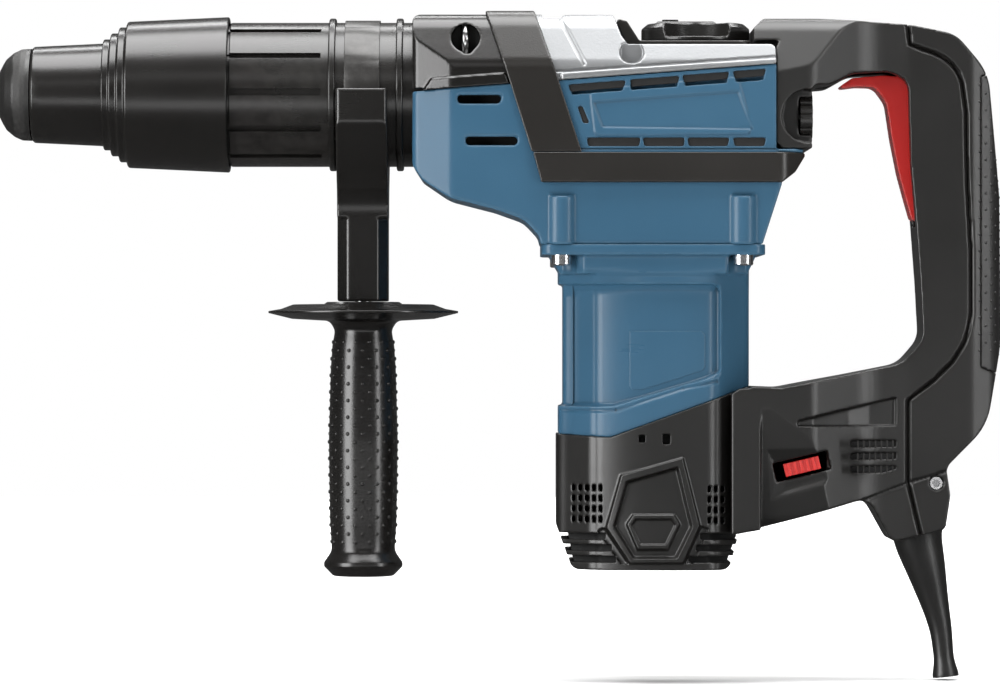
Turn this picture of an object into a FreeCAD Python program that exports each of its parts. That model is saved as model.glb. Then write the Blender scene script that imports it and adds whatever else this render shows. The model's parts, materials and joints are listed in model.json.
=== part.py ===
import FreeCAD, Part
import math
import os
from FreeCAD import Vector

# Rotary hammer with a vertical motor, a D-shaped rear handle and a swivelling side handle.
# X runs from the chuck's nose to the rear grip, Z is up, and the spindle turns on the X axis.
# The origin is on the spindle axis at the front face of the chuck. All sizes are in millimetres.
# Every sub-part is written to parts/NODE.step as one or more closed solids.

os.makedirs("parts", exist_ok=True)

# ---------------------------------------------------------------- clearances and walls
RUN = 0.06            # radial clearance of a shaft in its bush
GAP = 0.3             # room between pieces that move past each other
SEAT = 0.05           # room between pieces that are fixed together
WALL = 3.0            # moulded casing wall
EPS = 0.01

# ---------------------------------------------------------------- spindle and chuck
bore_r = 9.05         # tool bore
holder_wall = 4.95
holder_r = bore_r + holder_wall               # outside of the tool holder
piston_r = 19.0       # bore of the hammer cylinder
cylinder_wall = 4.0
cylinder_r = piston_r + cylinder_wall
holder_tip_x = 4.0    # front end of the tool holder, behind the dust cap's lip
cap_len = 15.5
nose_end_x = 62.0     # nose sleeve, under the locking sleeve
lock_front_x = 50.5
lock_rear_x = 111.5
lock_travel = 8.0
pawl_x0, pawl_x1 = 62.0, 78.0
pawl_width = 7.0
pawl_bite = 1.45      # how far a pawl stands into the tool bore
pawl_lift = 2.2
ring_x = 70.0         # front face of the lock ring
seat_x = 96.0         # spring seat collar on the holder
bolt_room_x0, bolt_room_x1 = 112.0, 140.0
cylinder_end_x = 252.0

# ---------------------------------------------------------------- neck
neck_r = 34.9
neck_x0 = 112.3       # rear face line of the locking sleeve's skirt
neck_x1 = 160.0       # slotted sleeve meets the neck tube
case_x0 = 200.5       # front of hood and gear case
neck_wall = 5.3
neck_bore_r = neck_r - neck_wall
bead_height = 2.1
bead_width = 3.4
clamp_x = 176.2       # middle of the side handle's clamp
slot_count = 12
slot_width = 3.4
slot_depth = 2.2

# ---------------------------------------------------------------- gearbox envelope
case_half = 44.5      # half width of the gear case
top_z = neck_r + 2.7  # top of the hood
front_half = case_half - 7.0                  # half width at the chamfered front
split_z = -73.2       # joint between gear case and motor housing
band_lean = 0.34      # forward lean of the saddle band, mm per mm of height
band_x0 = 235.8       # band's front edge at the height band_ref_z
band_ref_z = 38.0
band_width = 23.6
panel_end_x = 374.4   # rear edge of side panels and gearbox casting
deck_z = 22.6         # flat deck of the casting, under the selector cover
belt_z0, belt_z1 = -43.7, -29.3

# ---------------------------------------------------------------- motor
motor_x = 315.8
motor_half_x = 45.8   # half length of the motor housing along X
motor_half_y = 43.0
motor_front_x = motor_x + 0.6 - motor_half_x
cap_bottom_z = -228.9
low_bearing_z = cap_bottom_z + 20.0           # underside of the armature's lower bearing
stator_r = 36.0
armature_r = 24.6
shaft_r = 5.0

# ---------------------------------------------------------------- gear train
drive_m = 0.9
pinion_teeth, crank_teeth = 10, 56
step_m = 1.0
step_teeth, lay_teeth = 14, 56
bevel_pinion_teeth, ring_teeth = 15, 32
ring_pitch_r = 30.0
crank_throw = 12.0
rod_len = 55.0
crank_x = motor_x - drive_m * (pinion_teeth + crank_teeth) / 2
lay_x = crank_x - step_m * (step_teeth + lay_teeth) / 2
bevel_pitch_r = ring_pitch_r * bevel_pinion_teeth / ring_teeth
wrist_x = crank_x - crank_throw - rod_len

# ---------------------------------------------------------------- rear handle
grip_half = 19.5
handle_half = case_half - 1.5                 # half width of the handle's body part

# ---------------------------------------------------------------- side handle
stem_half_x = 12.6
stem_half_y = 15.5
cradle_wall = 7.1     # from the neck to the cradle's flank
guard_z = -104.8
grip_top_z = guard_z + 4.4
guard_r = 46.0
grip_r = 16.7
grip_end_z = -233.3


# ================================================================ helpers
def save(name, shape):
    """Writes one node and says how many solids it holds."""
    shape = shape.removeSplitter()
    solids = shape.Solids
    out = solids[0] if len(solids) == 1 else Part.makeCompound(solids)
    out.exportStep("parts/" + name + ".step")
    print(f"{name}: {len(solids)} solid(s), {sum(s.Volume for s in solids) / 1000:.2f} cm3")
    return shape


def signed_area(points):
    return sum(a[0] * b[1] - b[0] * a[1] for a, b in zip(points, points[1:] + points[:1])) / 2


def inset(points, distance):
    """The outline moved inwards by a distance; corner radii shrink on the outside and grow on the inside."""
    turn = 1 if signed_area(points) > 0 else -1
    moved = []
    count = len(points)
    for i, corner in enumerate(points):
        before, after = points[i - 1], points[(i + 1) % count]
        lines = []
        for a, b in ((before, corner), (corner, after)):
            dx, dy = b[0] - a[0], b[1] - a[1]
            size = math.hypot(dx, dy)
            nx, ny = -dy / size * turn, dx / size * turn
            lines.append((a[0] + nx * distance, a[1] + ny * distance, dx, dy))
        (x1, y1, ux, uy), (x2, y2, vx, vy) = lines
        cross = ux * vy - uy * vx
        t = ((x2 - x1) * vy - (y2 - y1) * vx) / cross
        radius = corner[2] if len(corner) > 2 else 0
        if radius:
            radius = max(radius - distance if cross * turn > 0 else radius + distance, 0)
        moved.append((x1 + ux * t, y1 + uy * t, radius))
    return moved


def outline_wire(points, place):
    """A closed wire through corners (a, b) or (a, b, radius), where a radius rounds its corner with an arc."""
    count = len(points)
    marks = []
    for i, corner in enumerate(points):
        p = Vector(corner[0], corner[1], 0)
        before = Vector(*points[i - 1][:2], 0) - p
        after = Vector(*points[(i + 1) % count][:2], 0) - p
        radius = corner[2] if len(corner) > 2 else 0
        if radius < EPS:
            marks.append((p, None, p))
            continue
        half = before.getAngle(after) / 2
        run = min(radius / math.tan(half), 0.49 * before.Length, 0.49 * after.Length)
        radius = run * math.tan(half)
        u, v = before.normalize(), after.normalize()
        middle = (u + v).normalize() * (radius / math.sin(half) - radius)
        marks.append((p + u * run, p + middle, p + v * run))
    edges = []
    for i, (start, middle, end) in enumerate(marks):
        if middle is not None:
            edges.append(Part.Arc(place(start), place(middle), place(end)).toShape())
        following = marks[(i + 1) % count][0]
        if (following - end).Length > EPS:
            edges.append(Part.LineSegment(place(end), place(following)).toShape())
    return Part.Wire(edges)


def prism(points, axis, low, high):
    """The outline extruded along an axis. Outlines are (x, z) along Y, (x, y) along Z and (y, z) along X."""
    place = {
        "x": lambda p: Vector(low, p.x, p.y),
        "y": lambda p: Vector(p.x, low, p.y),
        "z": lambda p: Vector(p.x, p.y, low),
    }[axis]
    step = {"x": Vector(1, 0, 0), "y": Vector(0, 1, 0), "z": Vector(0, 0, 1)}[axis]
    return Part.Face(outline_wire(points, place)).extrude(step * (high - low))


def slab(points, half):
    """A side outline (x, z) extruded to both sides of the middle plane."""
    return prism(points, "y", -half, half)


def box(x0, x1, y0, y1, z0, z1):
    return Part.makeBox(x1 - x0, y1 - y0, z1 - z0, Vector(x0, y0, z0))


def rod_x(x0, x1, radius, y=0.0, z=0.0):
    return Part.makeCylinder(radius, x1 - x0, Vector(x0, y, z), Vector(1, 0, 0))


def rod_z(z0, z1, radius, x=0.0, y=0.0):
    return Part.makeCylinder(radius, z1 - z0, Vector(x, y, z0), Vector(0, 0, 1))


def rod_y(y0, y1, radius, x=0.0, z=0.0):
    return Part.makeCylinder(radius, y1 - y0, Vector(x, y0, z), Vector(0, 1, 0))


def turned_x(points):
    """Corners (x, radius) turned about the X axis."""
    wire = outline_wire(points, lambda p: Vector(p.x, 0, p.y))
    return Part.Face(wire).revolve(Vector(0, 0, 0), Vector(1, 0, 0), 360)


def turned_z(points, x, y=0.0):
    """Corners (radius, z) turned about an upright axis."""
    wire = outline_wire(points, lambda p: Vector(x + p.x, y, p.y))
    return Part.Face(wire).revolve(Vector(x, y, 0), Vector(0, 0, 1), 360)


def ring_x_solid(x0, x1, inner, outer):
    return turned_x([(x0, inner), (x1, inner), (x1, outer), (x0, outer)])


def ring_z_solid(z0, z1, inner, outer, x, y=0.0):
    return turned_z([(inner, z0), (outer, z0), (outer, z1), (inner, z1)], x, y)


def fuse(*shapes):
    return shapes[0].multiFuse(list(shapes[1:])) if len(shapes) > 1 else shapes[0]


def mirrored(shape):
    """The same piece on the other side of the middle plane."""
    return shape.mirror(Vector(0, 0, 0), Vector(0, 1, 0))


def both_sides(shape):
    return fuse(shape, mirrored(shape))


def hex_socket(x, y, z, across, depth, axis):
    """A hexagonal pocket, its mouth at the given point, sunk against the axis."""
    corners = [(across / math.sqrt(3) * math.cos(math.radians(60 * k)),
                across / math.sqrt(3) * math.sin(math.radians(60 * k))) for k in range(6)]
    pocket = prism(corners, "z", 0, depth)
    pocket.Placement = FreeCAD.Placement(Vector(x, y, z), FreeCAD.Rotation(Vector(0, 0, 1), axis * -1))
    return pocket


def screw(head_at, axis, head_r, head_h, shank_r, shank_len):
    """A socket screw. head_at is the middle of the head's top, axis points out of the head."""
    head = Part.makeCylinder(head_r, head_h, Vector(0, 0, -head_h))
    head = head.makeChamfer(head_r * 0.12,
                            [e for e in head.Edges if abs(e.BoundBox.ZMin) < EPS and e.Closed])
    shank = Part.makeCylinder(shank_r, shank_len + EPS, Vector(0, 0, -head_h - shank_len))
    body = head.fuse(shank).cut(hex_socket(0, 0, EPS, head_r, head_h * 0.55, Vector(0, 0, 1)))
    body.Placement = FreeCAD.Placement(head_at, FreeCAD.Rotation(Vector(0, 0, 1), axis))
    return body


def coil_x(x0, x1, mean_r, wire_r, turns):
    """A helical spring on the X axis whose wire stays between x0 and x1."""
    pitch = (x1 - x0 - 2 * wire_r) / turns
    helix = Part.makeHelix(pitch, pitch * turns, mean_r)
    section = Part.Wire(Part.makeCircle(wire_r, Vector(mean_r, 0, 0), Vector(0, 1, 0)))
    spring = Part.Wire(helix.Edges).makePipeShell([section], True, True)
    spring.Placement = FreeCAD.Placement(Vector(x0 + wire_r, 0, 0),
                                         FreeCAD.Rotation(Vector(0, 0, 1), Vector(1, 0, 0)))
    return spring


# ================================================================ gears
def tooth_outline(teeth, module, head, foot, slack, phase):
    """Corners of a spur gear with involute flanks. head and foot are the tooth's reach outside and inside
    the pitch circle, slack the thinning of each tooth, phase the angle of the first tooth's middle."""
    pitch_r = module * teeth / 2
    base_r = pitch_r * math.cos(math.radians(20))
    tip_r, root_r = pitch_r + head, pitch_r - foot

    def spread(radius):
        """Half the angle that a tooth spans at a radius."""
        at_pitch = math.acos(base_r / pitch_r)
        at_radius = math.acos(min(base_r / max(radius, base_r), 1))
        drift = (math.tan(at_pitch) - at_pitch) - (math.tan(at_radius) - at_radius)
        return math.pi / 2 / teeth - slack / 2 / pitch_r + drift

    steps = 4
    low = max(base_r, root_r)
    radii = [low + (tip_r - low) * k / steps for k in range(steps + 1)]
    if root_r < base_r - EPS:
        radii.insert(0, root_r)
    corners = []
    for tooth in range(teeth):
        middle = phase + 2 * math.pi * tooth / teeth
        for r in radii:
            a = middle - spread(r)
            corners.append((r * math.cos(a), r * math.sin(a)))
        for r in reversed(radii):
            a = middle + spread(r)
            corners.append((r * math.cos(a), r * math.sin(a)))
    return corners


def spur_gear(x, z0, z1, teeth, module, head, foot, slack, phase):
    gear = prism(tooth_outline(teeth, module, head, foot, slack, phase), "z", z0, z1)
    gear.translate(Vector(x, 0, 0))
    return gear


def bevel_blank(teeth, pitch_r, reach, head, foot, slack, phase, keep):
    """A toothed cone on the Z axis with its apex at the origin: the big end at height reach, the small end
    at keep times that height."""
    corners = tooth_outline(teeth, 2 * pitch_r / teeth, head, foot, slack, phase)
    wires = []
    for scale in (1.0, keep):
        ring = [Vector(a * scale, b * scale, reach * scale) for a, b in corners]
        wires.append(Part.makePolygon(ring + ring[:1]))
    return Part.makeLoft(wires, True, True)


# ================================================================ chuck
cone_r0, cone_r1 = 23.3, 24.9                 # nose sleeve, front and rear
lip_r = cone_r1 + 0.4                         # bore of the locking sleeve's front lip
skirt_r = neck_r + 0.4                        # bore of the skirt that passes over the neck
sleeve_r0, sleeve_r1 = neck_r + 0.5, neck_r + 2.8
land_r = holder_r + 0.6                       # bore of the lock ring
ring_body_r = holder_r + 3.5
ring_edge_r = holder_r + 6.0
seat_r = holder_r + 10.0                      # spring seat collar
bolt_r0, bolt_r1 = bore_r - 0.15, 13.2        # impact bolt: tail and collar
bolt_neck_r = bore_r + 0.45
rear_bore_r = bore_r + 0.35                   # tool bore behind the pawls


def make_dust_cap():
    lip_bore = bore_r                         # the rubber lip closes on the shank
    return turned_x([
        (0, lip_bore), (0, 11.0), (1.6, 14.2), (3.4, 17.2, 3), (7.2, 20.4, 6), (11, 22.1, 3),
        (cap_len, 22.3),
        (cap_len, holder_r + SEAT), (holder_tip_x - 0.2, holder_r + SEAT), (holder_tip_x - 0.2, lip_bore),
    ])


def make_nose_sleeve():
    x0 = cap_len + 0.4
    web = 5.0
    return turned_x([
        (x0, holder_r + SEAT), (x0, cone_r0 - 1), (x0 + 1.2, cone_r0), (lock_front_x, cone_r1),
        (nose_end_x, cone_r1),
        (nose_end_x, cone_r1 - WALL), (x0 + web, cone_r0 - WALL), (x0 + web, holder_r + SEAT),
    ])


def make_locking_sleeve():
    """Three rounded steps, then the slightly flared grip skirt; an inner flange carries the lock ring."""
    rise = sleeve_r0 - cone_r1
    steps = [(lock_front_x, cone_r1 + 0.19 * rise), (54.2, cone_r1 + 0.467 * rise),
             (58.2, cone_r1 + 0.743 * rise)]
    corners = [(lock_front_x, lip_r)]
    ends = [steps[1][0], steps[2][0], nose_end_x]
    for (x, r), end in zip(steps, ends):
        corners += [(x, r, 0.9), (end, r, 0.9)]
    corners += [(nose_end_x, sleeve_r0, 1.6), (lock_rear_x, sleeve_r1, 0.8), (lock_rear_x, skirt_r)]
    inner_r0, inner_r1 = neck_r - 2.0, neck_r - 0.8
    corners += [(101, skirt_r), (101, inner_r1), (92, inner_r1), (92, inner_r0), (ring_x + 4, inner_r0)]
    corners += [(ring_x + 4, ring_edge_r), (ring_x, ring_edge_r), (ring_x, inner_r0)]
    corners += [(nose_end_x + 0.2, inner_r0), (nose_end_x + 0.2, lip_r)]
    return turned_x(corners)


def make_lock_ring():
    flange, land = 4.0, 8.0
    return turned_x([
        (ring_x, land_r), (ring_x + land, land_r), (ring_x + land, ring_body_r),
        (ring_x + flange, ring_body_r),
        (ring_x + flange, ring_edge_r - SEAT), (ring_x, ring_edge_r - SEAT),
    ])


def make_pawl(side):
    """A locking pawl. Its back ramps down to the rear, so the lock ring clears it as both move."""
    inner, outer = bore_r - pawl_bite, holder_r + GAP
    x0, x1 = pawl_x0 + GAP, pawl_x1 - GAP
    drop = (pawl_lift / lock_travel + 0.011) * (x1 - ring_x)
    body = prism([(x0, inner, 1), (x1, inner, 1), (x1, outer - drop), (ring_x, outer), (x0, outer)],
                 "y", -pawl_width / 2, pawl_width / 2)
    return body if side > 0 else body.mirror(Vector(0, 0, 0), Vector(0, 0, 1))


def make_spindle():
    """Tool holder and hammer cylinder in one turned piece, with pawl windows and three drive splines."""
    guide_r = bolt_r1 + 0.4
    shoulder_r = holder_r + 2.0
    tube = turned_x([
        (holder_tip_x, bore_r), (60, bore_r), (60, rear_bore_r), (bolt_room_x0, rear_bore_r),
        (bolt_room_x0, guide_r), (bolt_room_x1, guide_r), (bolt_room_x1, piston_r),
        (cylinder_end_x, piston_r),
        (cylinder_end_x, cylinder_r), (108, cylinder_r), (103, shoulder_r), (seat_x + 3, shoulder_r),
        (seat_x + 3, seat_r), (seat_x, seat_r), (seat_x, holder_r), (holder_tip_x, holder_r),
    ])
    window = box(pawl_x0, pawl_x1, -pawl_width / 2 - GAP, pawl_width / 2 + GAP, 0, holder_r + 1)
    tube = tube.cut(fuse(window, window.mirror(Vector(0, 0, 0), Vector(0, 0, 1))))
    # splines stand in from the bore, between the pawls and the impact bolt
    spline = box(80, 91, -2.4, 2.4, bore_r - 2.4, rear_bore_r + 0.6)
    for angle in (90, 210, 330):
        rib = spline.copy()
        rib.rotate(Vector(0, 0, 0), Vector(1, 0, 0), angle)
        tube = tube.fuse(rib)
    # collar that the clutch spring pushes against
    return tube.fuse(ring_x_solid(203, 206, cylinder_r - 1, max(neck_bore_r - 1.8, cylinder_r + 1)))


def make_bolt_retainer():
    hole_r, rear = bolt_neck_r + 0.5, bolt_room_x1 + 7
    return turned_x([(bolt_room_x1, hole_r), (rear, hole_r), (rear, piston_r - SEAT),
                     (bolt_room_x1, piston_r - SEAT)])


def make_impact_bolt():
    """Stepped anvil between the striker and the tool's shank."""
    return turned_x([(96, 0), (96, bolt_r0 - 0.9), (97.5, bolt_r0), (116, bolt_r0), (116, bolt_r1, 1),
                     (132, bolt_r1, 1),
                     (132, bolt_neck_r), (145, bolt_neck_r, 1), (146, 0)])


def make_striker():
    return turned_x([(150, 0), (150, 8, 1), (156, 9.5), (156, piston_r - 0.15, 1),
                     (180, piston_r - 0.15, 1), (180, 0)])


pin_r = 4.0                                   # wrist pin
rod_half = 7.0
crank_pin_r = 5.0


def make_piston():
    """Piston with a rear fork for the wrist pin, which stands upright."""
    front, rear = wrist_x - 20, wrist_x + 9
    body = turned_x([(front, 0), (front, piston_r - 0.06), (rear, piston_r - 0.06), (rear, 0)])
    body = body.cut(box(wrist_x - 9, rear + 1, -piston_r, piston_r, -rod_half - 1, rod_half + 1))
    return body.cut(rod_z(-piston_r, piston_r, pin_r + SEAT, wrist_x))


def make_wrist_pin():
    reach = math.sqrt(piston_r ** 2 - pin_r ** 2) - 1.0
    return rod_z(-reach, reach, pin_r, wrist_x)


def make_connecting_rod():
    """Its big end lies over the crank pin, at the front dead centre."""
    half, big_x = rod_half, wrist_x + rod_len
    beam = prism([(wrist_x, -4.0), (big_x, -6.5), (big_x, 6.5), (wrist_x, 4.0)], "z", -half + 1, half - 1)
    body = fuse(rod_z(-half, half, 7.5, wrist_x), rod_z(-half, half, 10.5, big_x), beam)
    holes = fuse(rod_z(-half - 1, half + 1, pin_r + RUN, wrist_x),
                 rod_z(-half - 1, half + 1, crank_pin_r + 1, big_x))
    return body.cut(holes)


# ================================================================ gear train
ring_big_x = lay_x - bevel_pitch_r
bevel_keep = 0.87
shaft_seat_z = -46.7                          # top of the gear plate
plate_z = -53.4
lay_z0, lay_z1 = -38.0, -33.0
crank_z0, crank_z1 = -46.0, -40.0


def make_crank():
    """Crank gear, step pinion, shaft and eccentric disc in one piece, its pin at the front."""
    gear = spur_gear(crank_x, crank_z0, crank_z1, crank_teeth, drive_m, 0.5, 1.15, 0.25, 0)
    step = spur_gear(crank_x, lay_z0, lay_z1, step_teeth, step_m, 0.75, 1.2, 0.25, math.pi / step_teeth)
    shaft = rod_z(plate_z + 1.5, -24, 5.0, crank_x)
    disc = rod_z(-23.5, -14, 16.0, crank_x)
    disc = disc.cut(both_sides(box(crank_x, crank_x + 20, 9, 20, -24, -13)))
    pin = rod_z(-14.5, -rod_half - 0.4, crank_pin_r, crank_x - crank_throw)
    return fuse(gear, step, shaft, rod_z(-25, -23, 8.0, crank_x), disc, pin)


def make_lay_shaft():
    """Upright lay shaft: its gear meshes with the step pinion, its bevel pinion drives the ring gear."""
    gear = spur_gear(lay_x, lay_z0, lay_z1, lay_teeth, step_m, 0.7, 1.2, 0.25, 0)
    bevel = bevel_blank(bevel_pinion_teeth, bevel_pitch_r, ring_pitch_r, 1.0, 1.7, 0.45, 0, bevel_keep)
    bevel = bevel.mirror(Vector(0, 0, 0), Vector(0, 0, 1))
    bevel.translate(Vector(lay_x, 0, 0))
    shaft = rod_z(plate_z + 1.5, -ring_pitch_r, 5.0, lay_x)
    hub = rod_z(-33.2, -ring_pitch_r + EPS, 10.5, lay_x)
    return fuse(gear, bevel, shaft, hub)


def make_ring_gear():
    """Ring gear on the cylinder, facing the lay shaft's bevel pinion."""
    teeth = bevel_blank(ring_teeth, ring_pitch_r, bevel_pitch_r, 0.9, 2.4, 0.45, 0, bevel_keep)
    teeth.Placement = FreeCAD.Placement(Vector(lay_x, 0, 0),
                                        FreeCAD.Rotation(Vector(0, 0, 1), Vector(-1, 0, 0)))
    back = ring_x_solid(ring_big_x - 6.5, ring_big_x + EPS, cylinder_r + SEAT, ring_pitch_r - 2.0)
    gear = fuse(teeth, back)
    return gear.cut(rod_x(ring_big_x - 8, lay_x, cylinder_r + SEAT))


def make_clutch_ring():
    x1 = ring_big_x - 6.6
    ring = ring_x_solid(x1 - 5, x1, cylinder_r + SEAT, 28.5)
    for k in range(6):
        notch = box(x1 - 2, x1 + 1, -2, 2, 25.5, 30)
        notch.rotate(Vector(0, 0, 0), Vector(1, 0, 0), 60 * k)
        ring = ring.cut(notch)
    return ring


def make_clutch_spring():
    x1 = ring_big_x - 11.7
    return coil_x(206.1, x1, cylinder_r + 3.0, 1.25, 4)


def make_lock_spring():
    return coil_x(ring_x + 4.05, seat_x - 0.05, seat_r - 1.8, 1.1, 5)


# ================================================================ neck and casings
spigot_r = neck_r - 1.4
lap_r = neck_r - 2.9                          # neck tube inside the slotted collar
tube_front_x = neck_x1 - 10


def make_neck_sleeve():
    """Slotted collar behind the locking sleeve; its front spigot stays under the sleeve's skirt."""
    collar = turned_x([
        (101, neck_bore_r), (101, spigot_r), (neck_x0, spigot_r), (neck_x0, neck_r, 0.6),
        (neck_x1 - SEAT, neck_r),
        (neck_x1 - SEAT, lap_r + SEAT), (tube_front_x, lap_r + SEAT), (tube_front_x, neck_bore_r),
    ])
    slot = box(neck_x0 - 1, neck_x1 - 3.6, -slot_width / 2, slot_width / 2, neck_r - slot_depth, neck_r + 2)
    for k in range(slot_count):
        cutter = slot.copy()
        cutter.rotate(Vector(0, 0, 0), Vector(1, 0, 0), 360 / slot_count * k)
        collar = collar.cut(cutter)
    return collar


def make_neck_tube():
    """Clamping neck between two beads, with a flange inside the gear case."""
    front, rear = neck_x1, neck_x1 + 32.5
    return turned_x([
        (tube_front_x + SEAT, neck_bore_r), (tube_front_x + SEAT, lap_r), (front, lap_r),
        (front, neck_r + bead_height, 1),
        (front + bead_width, neck_r + bead_height, 1), (front + bead_width, neck_r), (rear, neck_r),
        (rear, neck_r + bead_height, 1), (rear + bead_width, neck_r + bead_height, 1),
        (rear + bead_width, neck_r),
        (case_x0 + WALL, neck_r), (case_x0 + WALL + SEAT, neck_r - 1), (case_x0 + WALL + 4, neck_r - 1),
        (case_x0 + WALL + 4, neck_bore_r),
    ])


def body_side():
    """Side outline of hood, gear case and gearbox casting together."""
    deck_x0, deck_x1 = 303.5, panel_end_x
    return [
        (case_x0, top_z, 4), (262.6, top_z), (262.6, top_z - 2.2), (272, top_z - 2.2, 1),
        (273, top_z - 0.3, 1),
        (296.8, top_z - 0.3, 1), (300.7, deck_z + 4, 1), (deck_x0, deck_z), (deck_x1, deck_z, 3),
        (deck_x1, -27.5),
        (377.3, belt_z0, 3), (367.8, split_z), (262.0, split_z), (261.0, -69, 6), (254, -61.5, 12),
        (240, -56.5, 20), (218.2, -50.9, 20), (205, -42, 5), (case_x0, -35, 5),
    ]


def body_plan():
    """Plan outline, chamfered at the front corners."""
    return [(case_x0, -front_half, 4), (219.5, -case_half, 8), (380, -case_half, 6), (380, case_half, 6),
            (219.5, case_half, 8), (case_x0, front_half, 4)]


def body_section():
    crown = case_half - 13.0
    return [(-case_half, -80), (case_half, -80), (case_half, 13, 12), (crown, top_z, 14),
            (-crown, top_z, 14),
            (-case_half, 13, 12)]


def body_block(wall, side_wall):
    """The rounded block of the upper housing, moved inwards by a wall. A negative wall makes it larger."""
    block = slab(inset(body_side(), wall), 60).common(prism(inset(body_plan(), side_wall), "z", -90, 60))
    return block.common(prism(inset(body_section(), side_wall), "x", 150, 420))


def lean(z):
    """X of the saddle band's front edge at a height."""
    return band_x0 + (band_ref_z - z) * band_lean


split_dx = band_width / 2
rim_rise = 13.1


def rim_line(x):
    """Height of the joint under hood and casting, rising gently to the rear."""
    return rim_rise * (x - case_x0) / (panel_end_x - case_x0)


def hood_region():
    x_top, x_low = lean(60) + split_dx, lean(rim_line(255)) + split_dx
    return slab([(180, rim_line(case_x0)), (x_low, rim_line(x_low)), (x_top, 60), (180, 60)], 70)


def casting_region():
    x_top, x_low = lean(60) + split_dx + SEAT, lean(rim_line(255)) + split_dx + SEAT
    return slab([(x_low, rim_line(x_low)), (390, rim_line(390)), (390, 60), (x_top, 60)], 70)


def case_region():
    drop = SEAT
    return slab([(180, rim_line(180) - drop), (180, -90), (390, -90), (390, rim_line(390) - drop)], 70)


outer_block = body_block(0, 0)
hollow_block = body_block(WALL, 2 * WALL + SEAT)
neck_hole = rod_x(case_x0 - 1, case_x0 + 2 * WALL + 2, neck_r + SEAT)
shell = outer_block.cut(hollow_block).cut(neck_hole)
hood_screw_x, hood_screw_z = 226.0, 25.7
hood_hole_r = 6.8


def make_hood():
    """Front hood with a lip along its lower edge and a bossed hole on each side."""
    hood = shell.common(hood_region())
    front, low_end, high_end, height = 206.0, lean(3) - 1, lean(8.5) - 1, 5.0
    lip = body_block(-1.2, -1.2).cut(hollow_block).cut(neck_hole)
    lip = lip.common(slab([(front, rim_line(front)), (low_end, rim_line(low_end)),
                           (high_end, rim_line(high_end) + height),
                           (front + 3.5, rim_line(front + 3.5) + height)], 60))
    place = (hood_screw_x, hood_screw_z)
    boss_y, floor_y = case_half - 19.0, case_half - 17.0
    boss = both_sides(rod_y(boss_y, 60, hood_hole_r + 2.2, *place)).common(outer_block)
    boss = boss.cut(both_sides(rod_y(floor_y, 60, hood_hole_r, *place)))
    boss = boss.cut(both_sides(rod_y(boss_y - 5, 60, 3.2, *place)))
    return fuse(hood, lip).cut(rod_y(-60, 60, hood_hole_r, *place)).fuse(boss)


def make_casting():
    """Metal gearbox casting: a rim along both sides, a raised front block and the deck of the mode knob."""
    top = shell.common(casting_region())
    boss = rod_z(deck_z - 3.4, deck_z - WALL + 0.5, 12, knob_x)
    hole = rod_z(0, deck_z + 2, 5.2, knob_x)
    x0, x1, height = 272.0, panel_end_x, 3.0
    strip = slab([(x0, rim_line(x0)), (x1, rim_line(x1)), (x1, rim_line(x1) + height),
                  (x0, rim_line(x0) + height)], 60)
    rim = body_block(-0.9, -0.9).cut(hollow_block).common(casting_region()).common(strip)
    pocket = both_sides(rod_y(case_half - 5.9, 60, 5.8, 305.5, 18.5))
    return fuse(top, rim).cut(pocket).fuse(boss).cut(hole)


def panel_side():
    """Outline of a side panel; its front edge lies under the saddle band."""
    return [(lean(5) + split_dx + 4, rim_line(262) - 0.3), (panel_end_x, rim_line(panel_end_x) - 0.3),
            (panel_end_x, -27.6), (lean(-27.6) + split_dx + 4, -27.6)]


def upper_vents(y0, y1):
    """The row of vents under the rim; each follows the rim's slant."""
    cuts = []
    for a, b in ((276.5, 301.2), (304.8, 327.2), (330.5, 350.9), (354.8, 368.3)):
        drop, high = 4.2, 3.3
        cuts.append(prism([(a, rim_line(a) - drop - high, 0.8), (b, rim_line(b) - drop - high, 0.8),
                           (b, rim_line(b) - drop, 0.8), (a, rim_line(a) - drop, 0.8)], "y", y0, y1))
    return cuts


def lower_vents(y0, y1):
    cuts = []
    for a, b in ((285.2, 308.2), (311.6, 330.5), (333.2, 350.9), (354.8, 368.3)):
        cuts.append(prism([(a, -26.2, 0.8), (b, -26.2, 0.8), (b, -22.4, 0.8), (a, -22.4, 0.8)], "y", y0,
                          y1))
    return cuts


def case_vents(y0, y1):
    """Two slots in the front of the gear case."""
    front = prism([(222.6, -6, 1), (242.5, -6, 1), (243.5, -2, 1), (222.6, -2, 1)], "y", y0, y1)
    rear = prism([(226.5, -25.7, 1), (248, -25.7, 1), (250.3, -21.9, 1), (226.5, -21.9, 1)], "y", y0, y1)
    return [front, rear]


def make_side_panel(side):
    low, high = case_half - WALL, case_half
    panel = prism(panel_side(), "y", low, 60).common(outer_block)
    raised = prism([(288, -21.6, 3), (285.5, 0.5, 3), (356, 6.5, 3), (363, -20.5, 3)], "y", high - EPS,
                   high + 0.7)
    panel = fuse(panel, raised)
    slot = prism([(279.4, -7.3), (281.8, -7.3), (285.2, -15.5), (282.3, -15.5)], "y", low - 1, high + 2)
    for cutter in upper_vents(low - 1, high + 2) + lower_vents(low - 1, high + 2) + [slot]:
        panel = panel.cut(cutter)
    return mirrored(panel) if side < 0 else panel


motor_screws = [(272.0, case_half - 4.0), (358.6, case_half - 4.0)]


ledge_end_x, ledge_z = 387.6, -27.6


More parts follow.
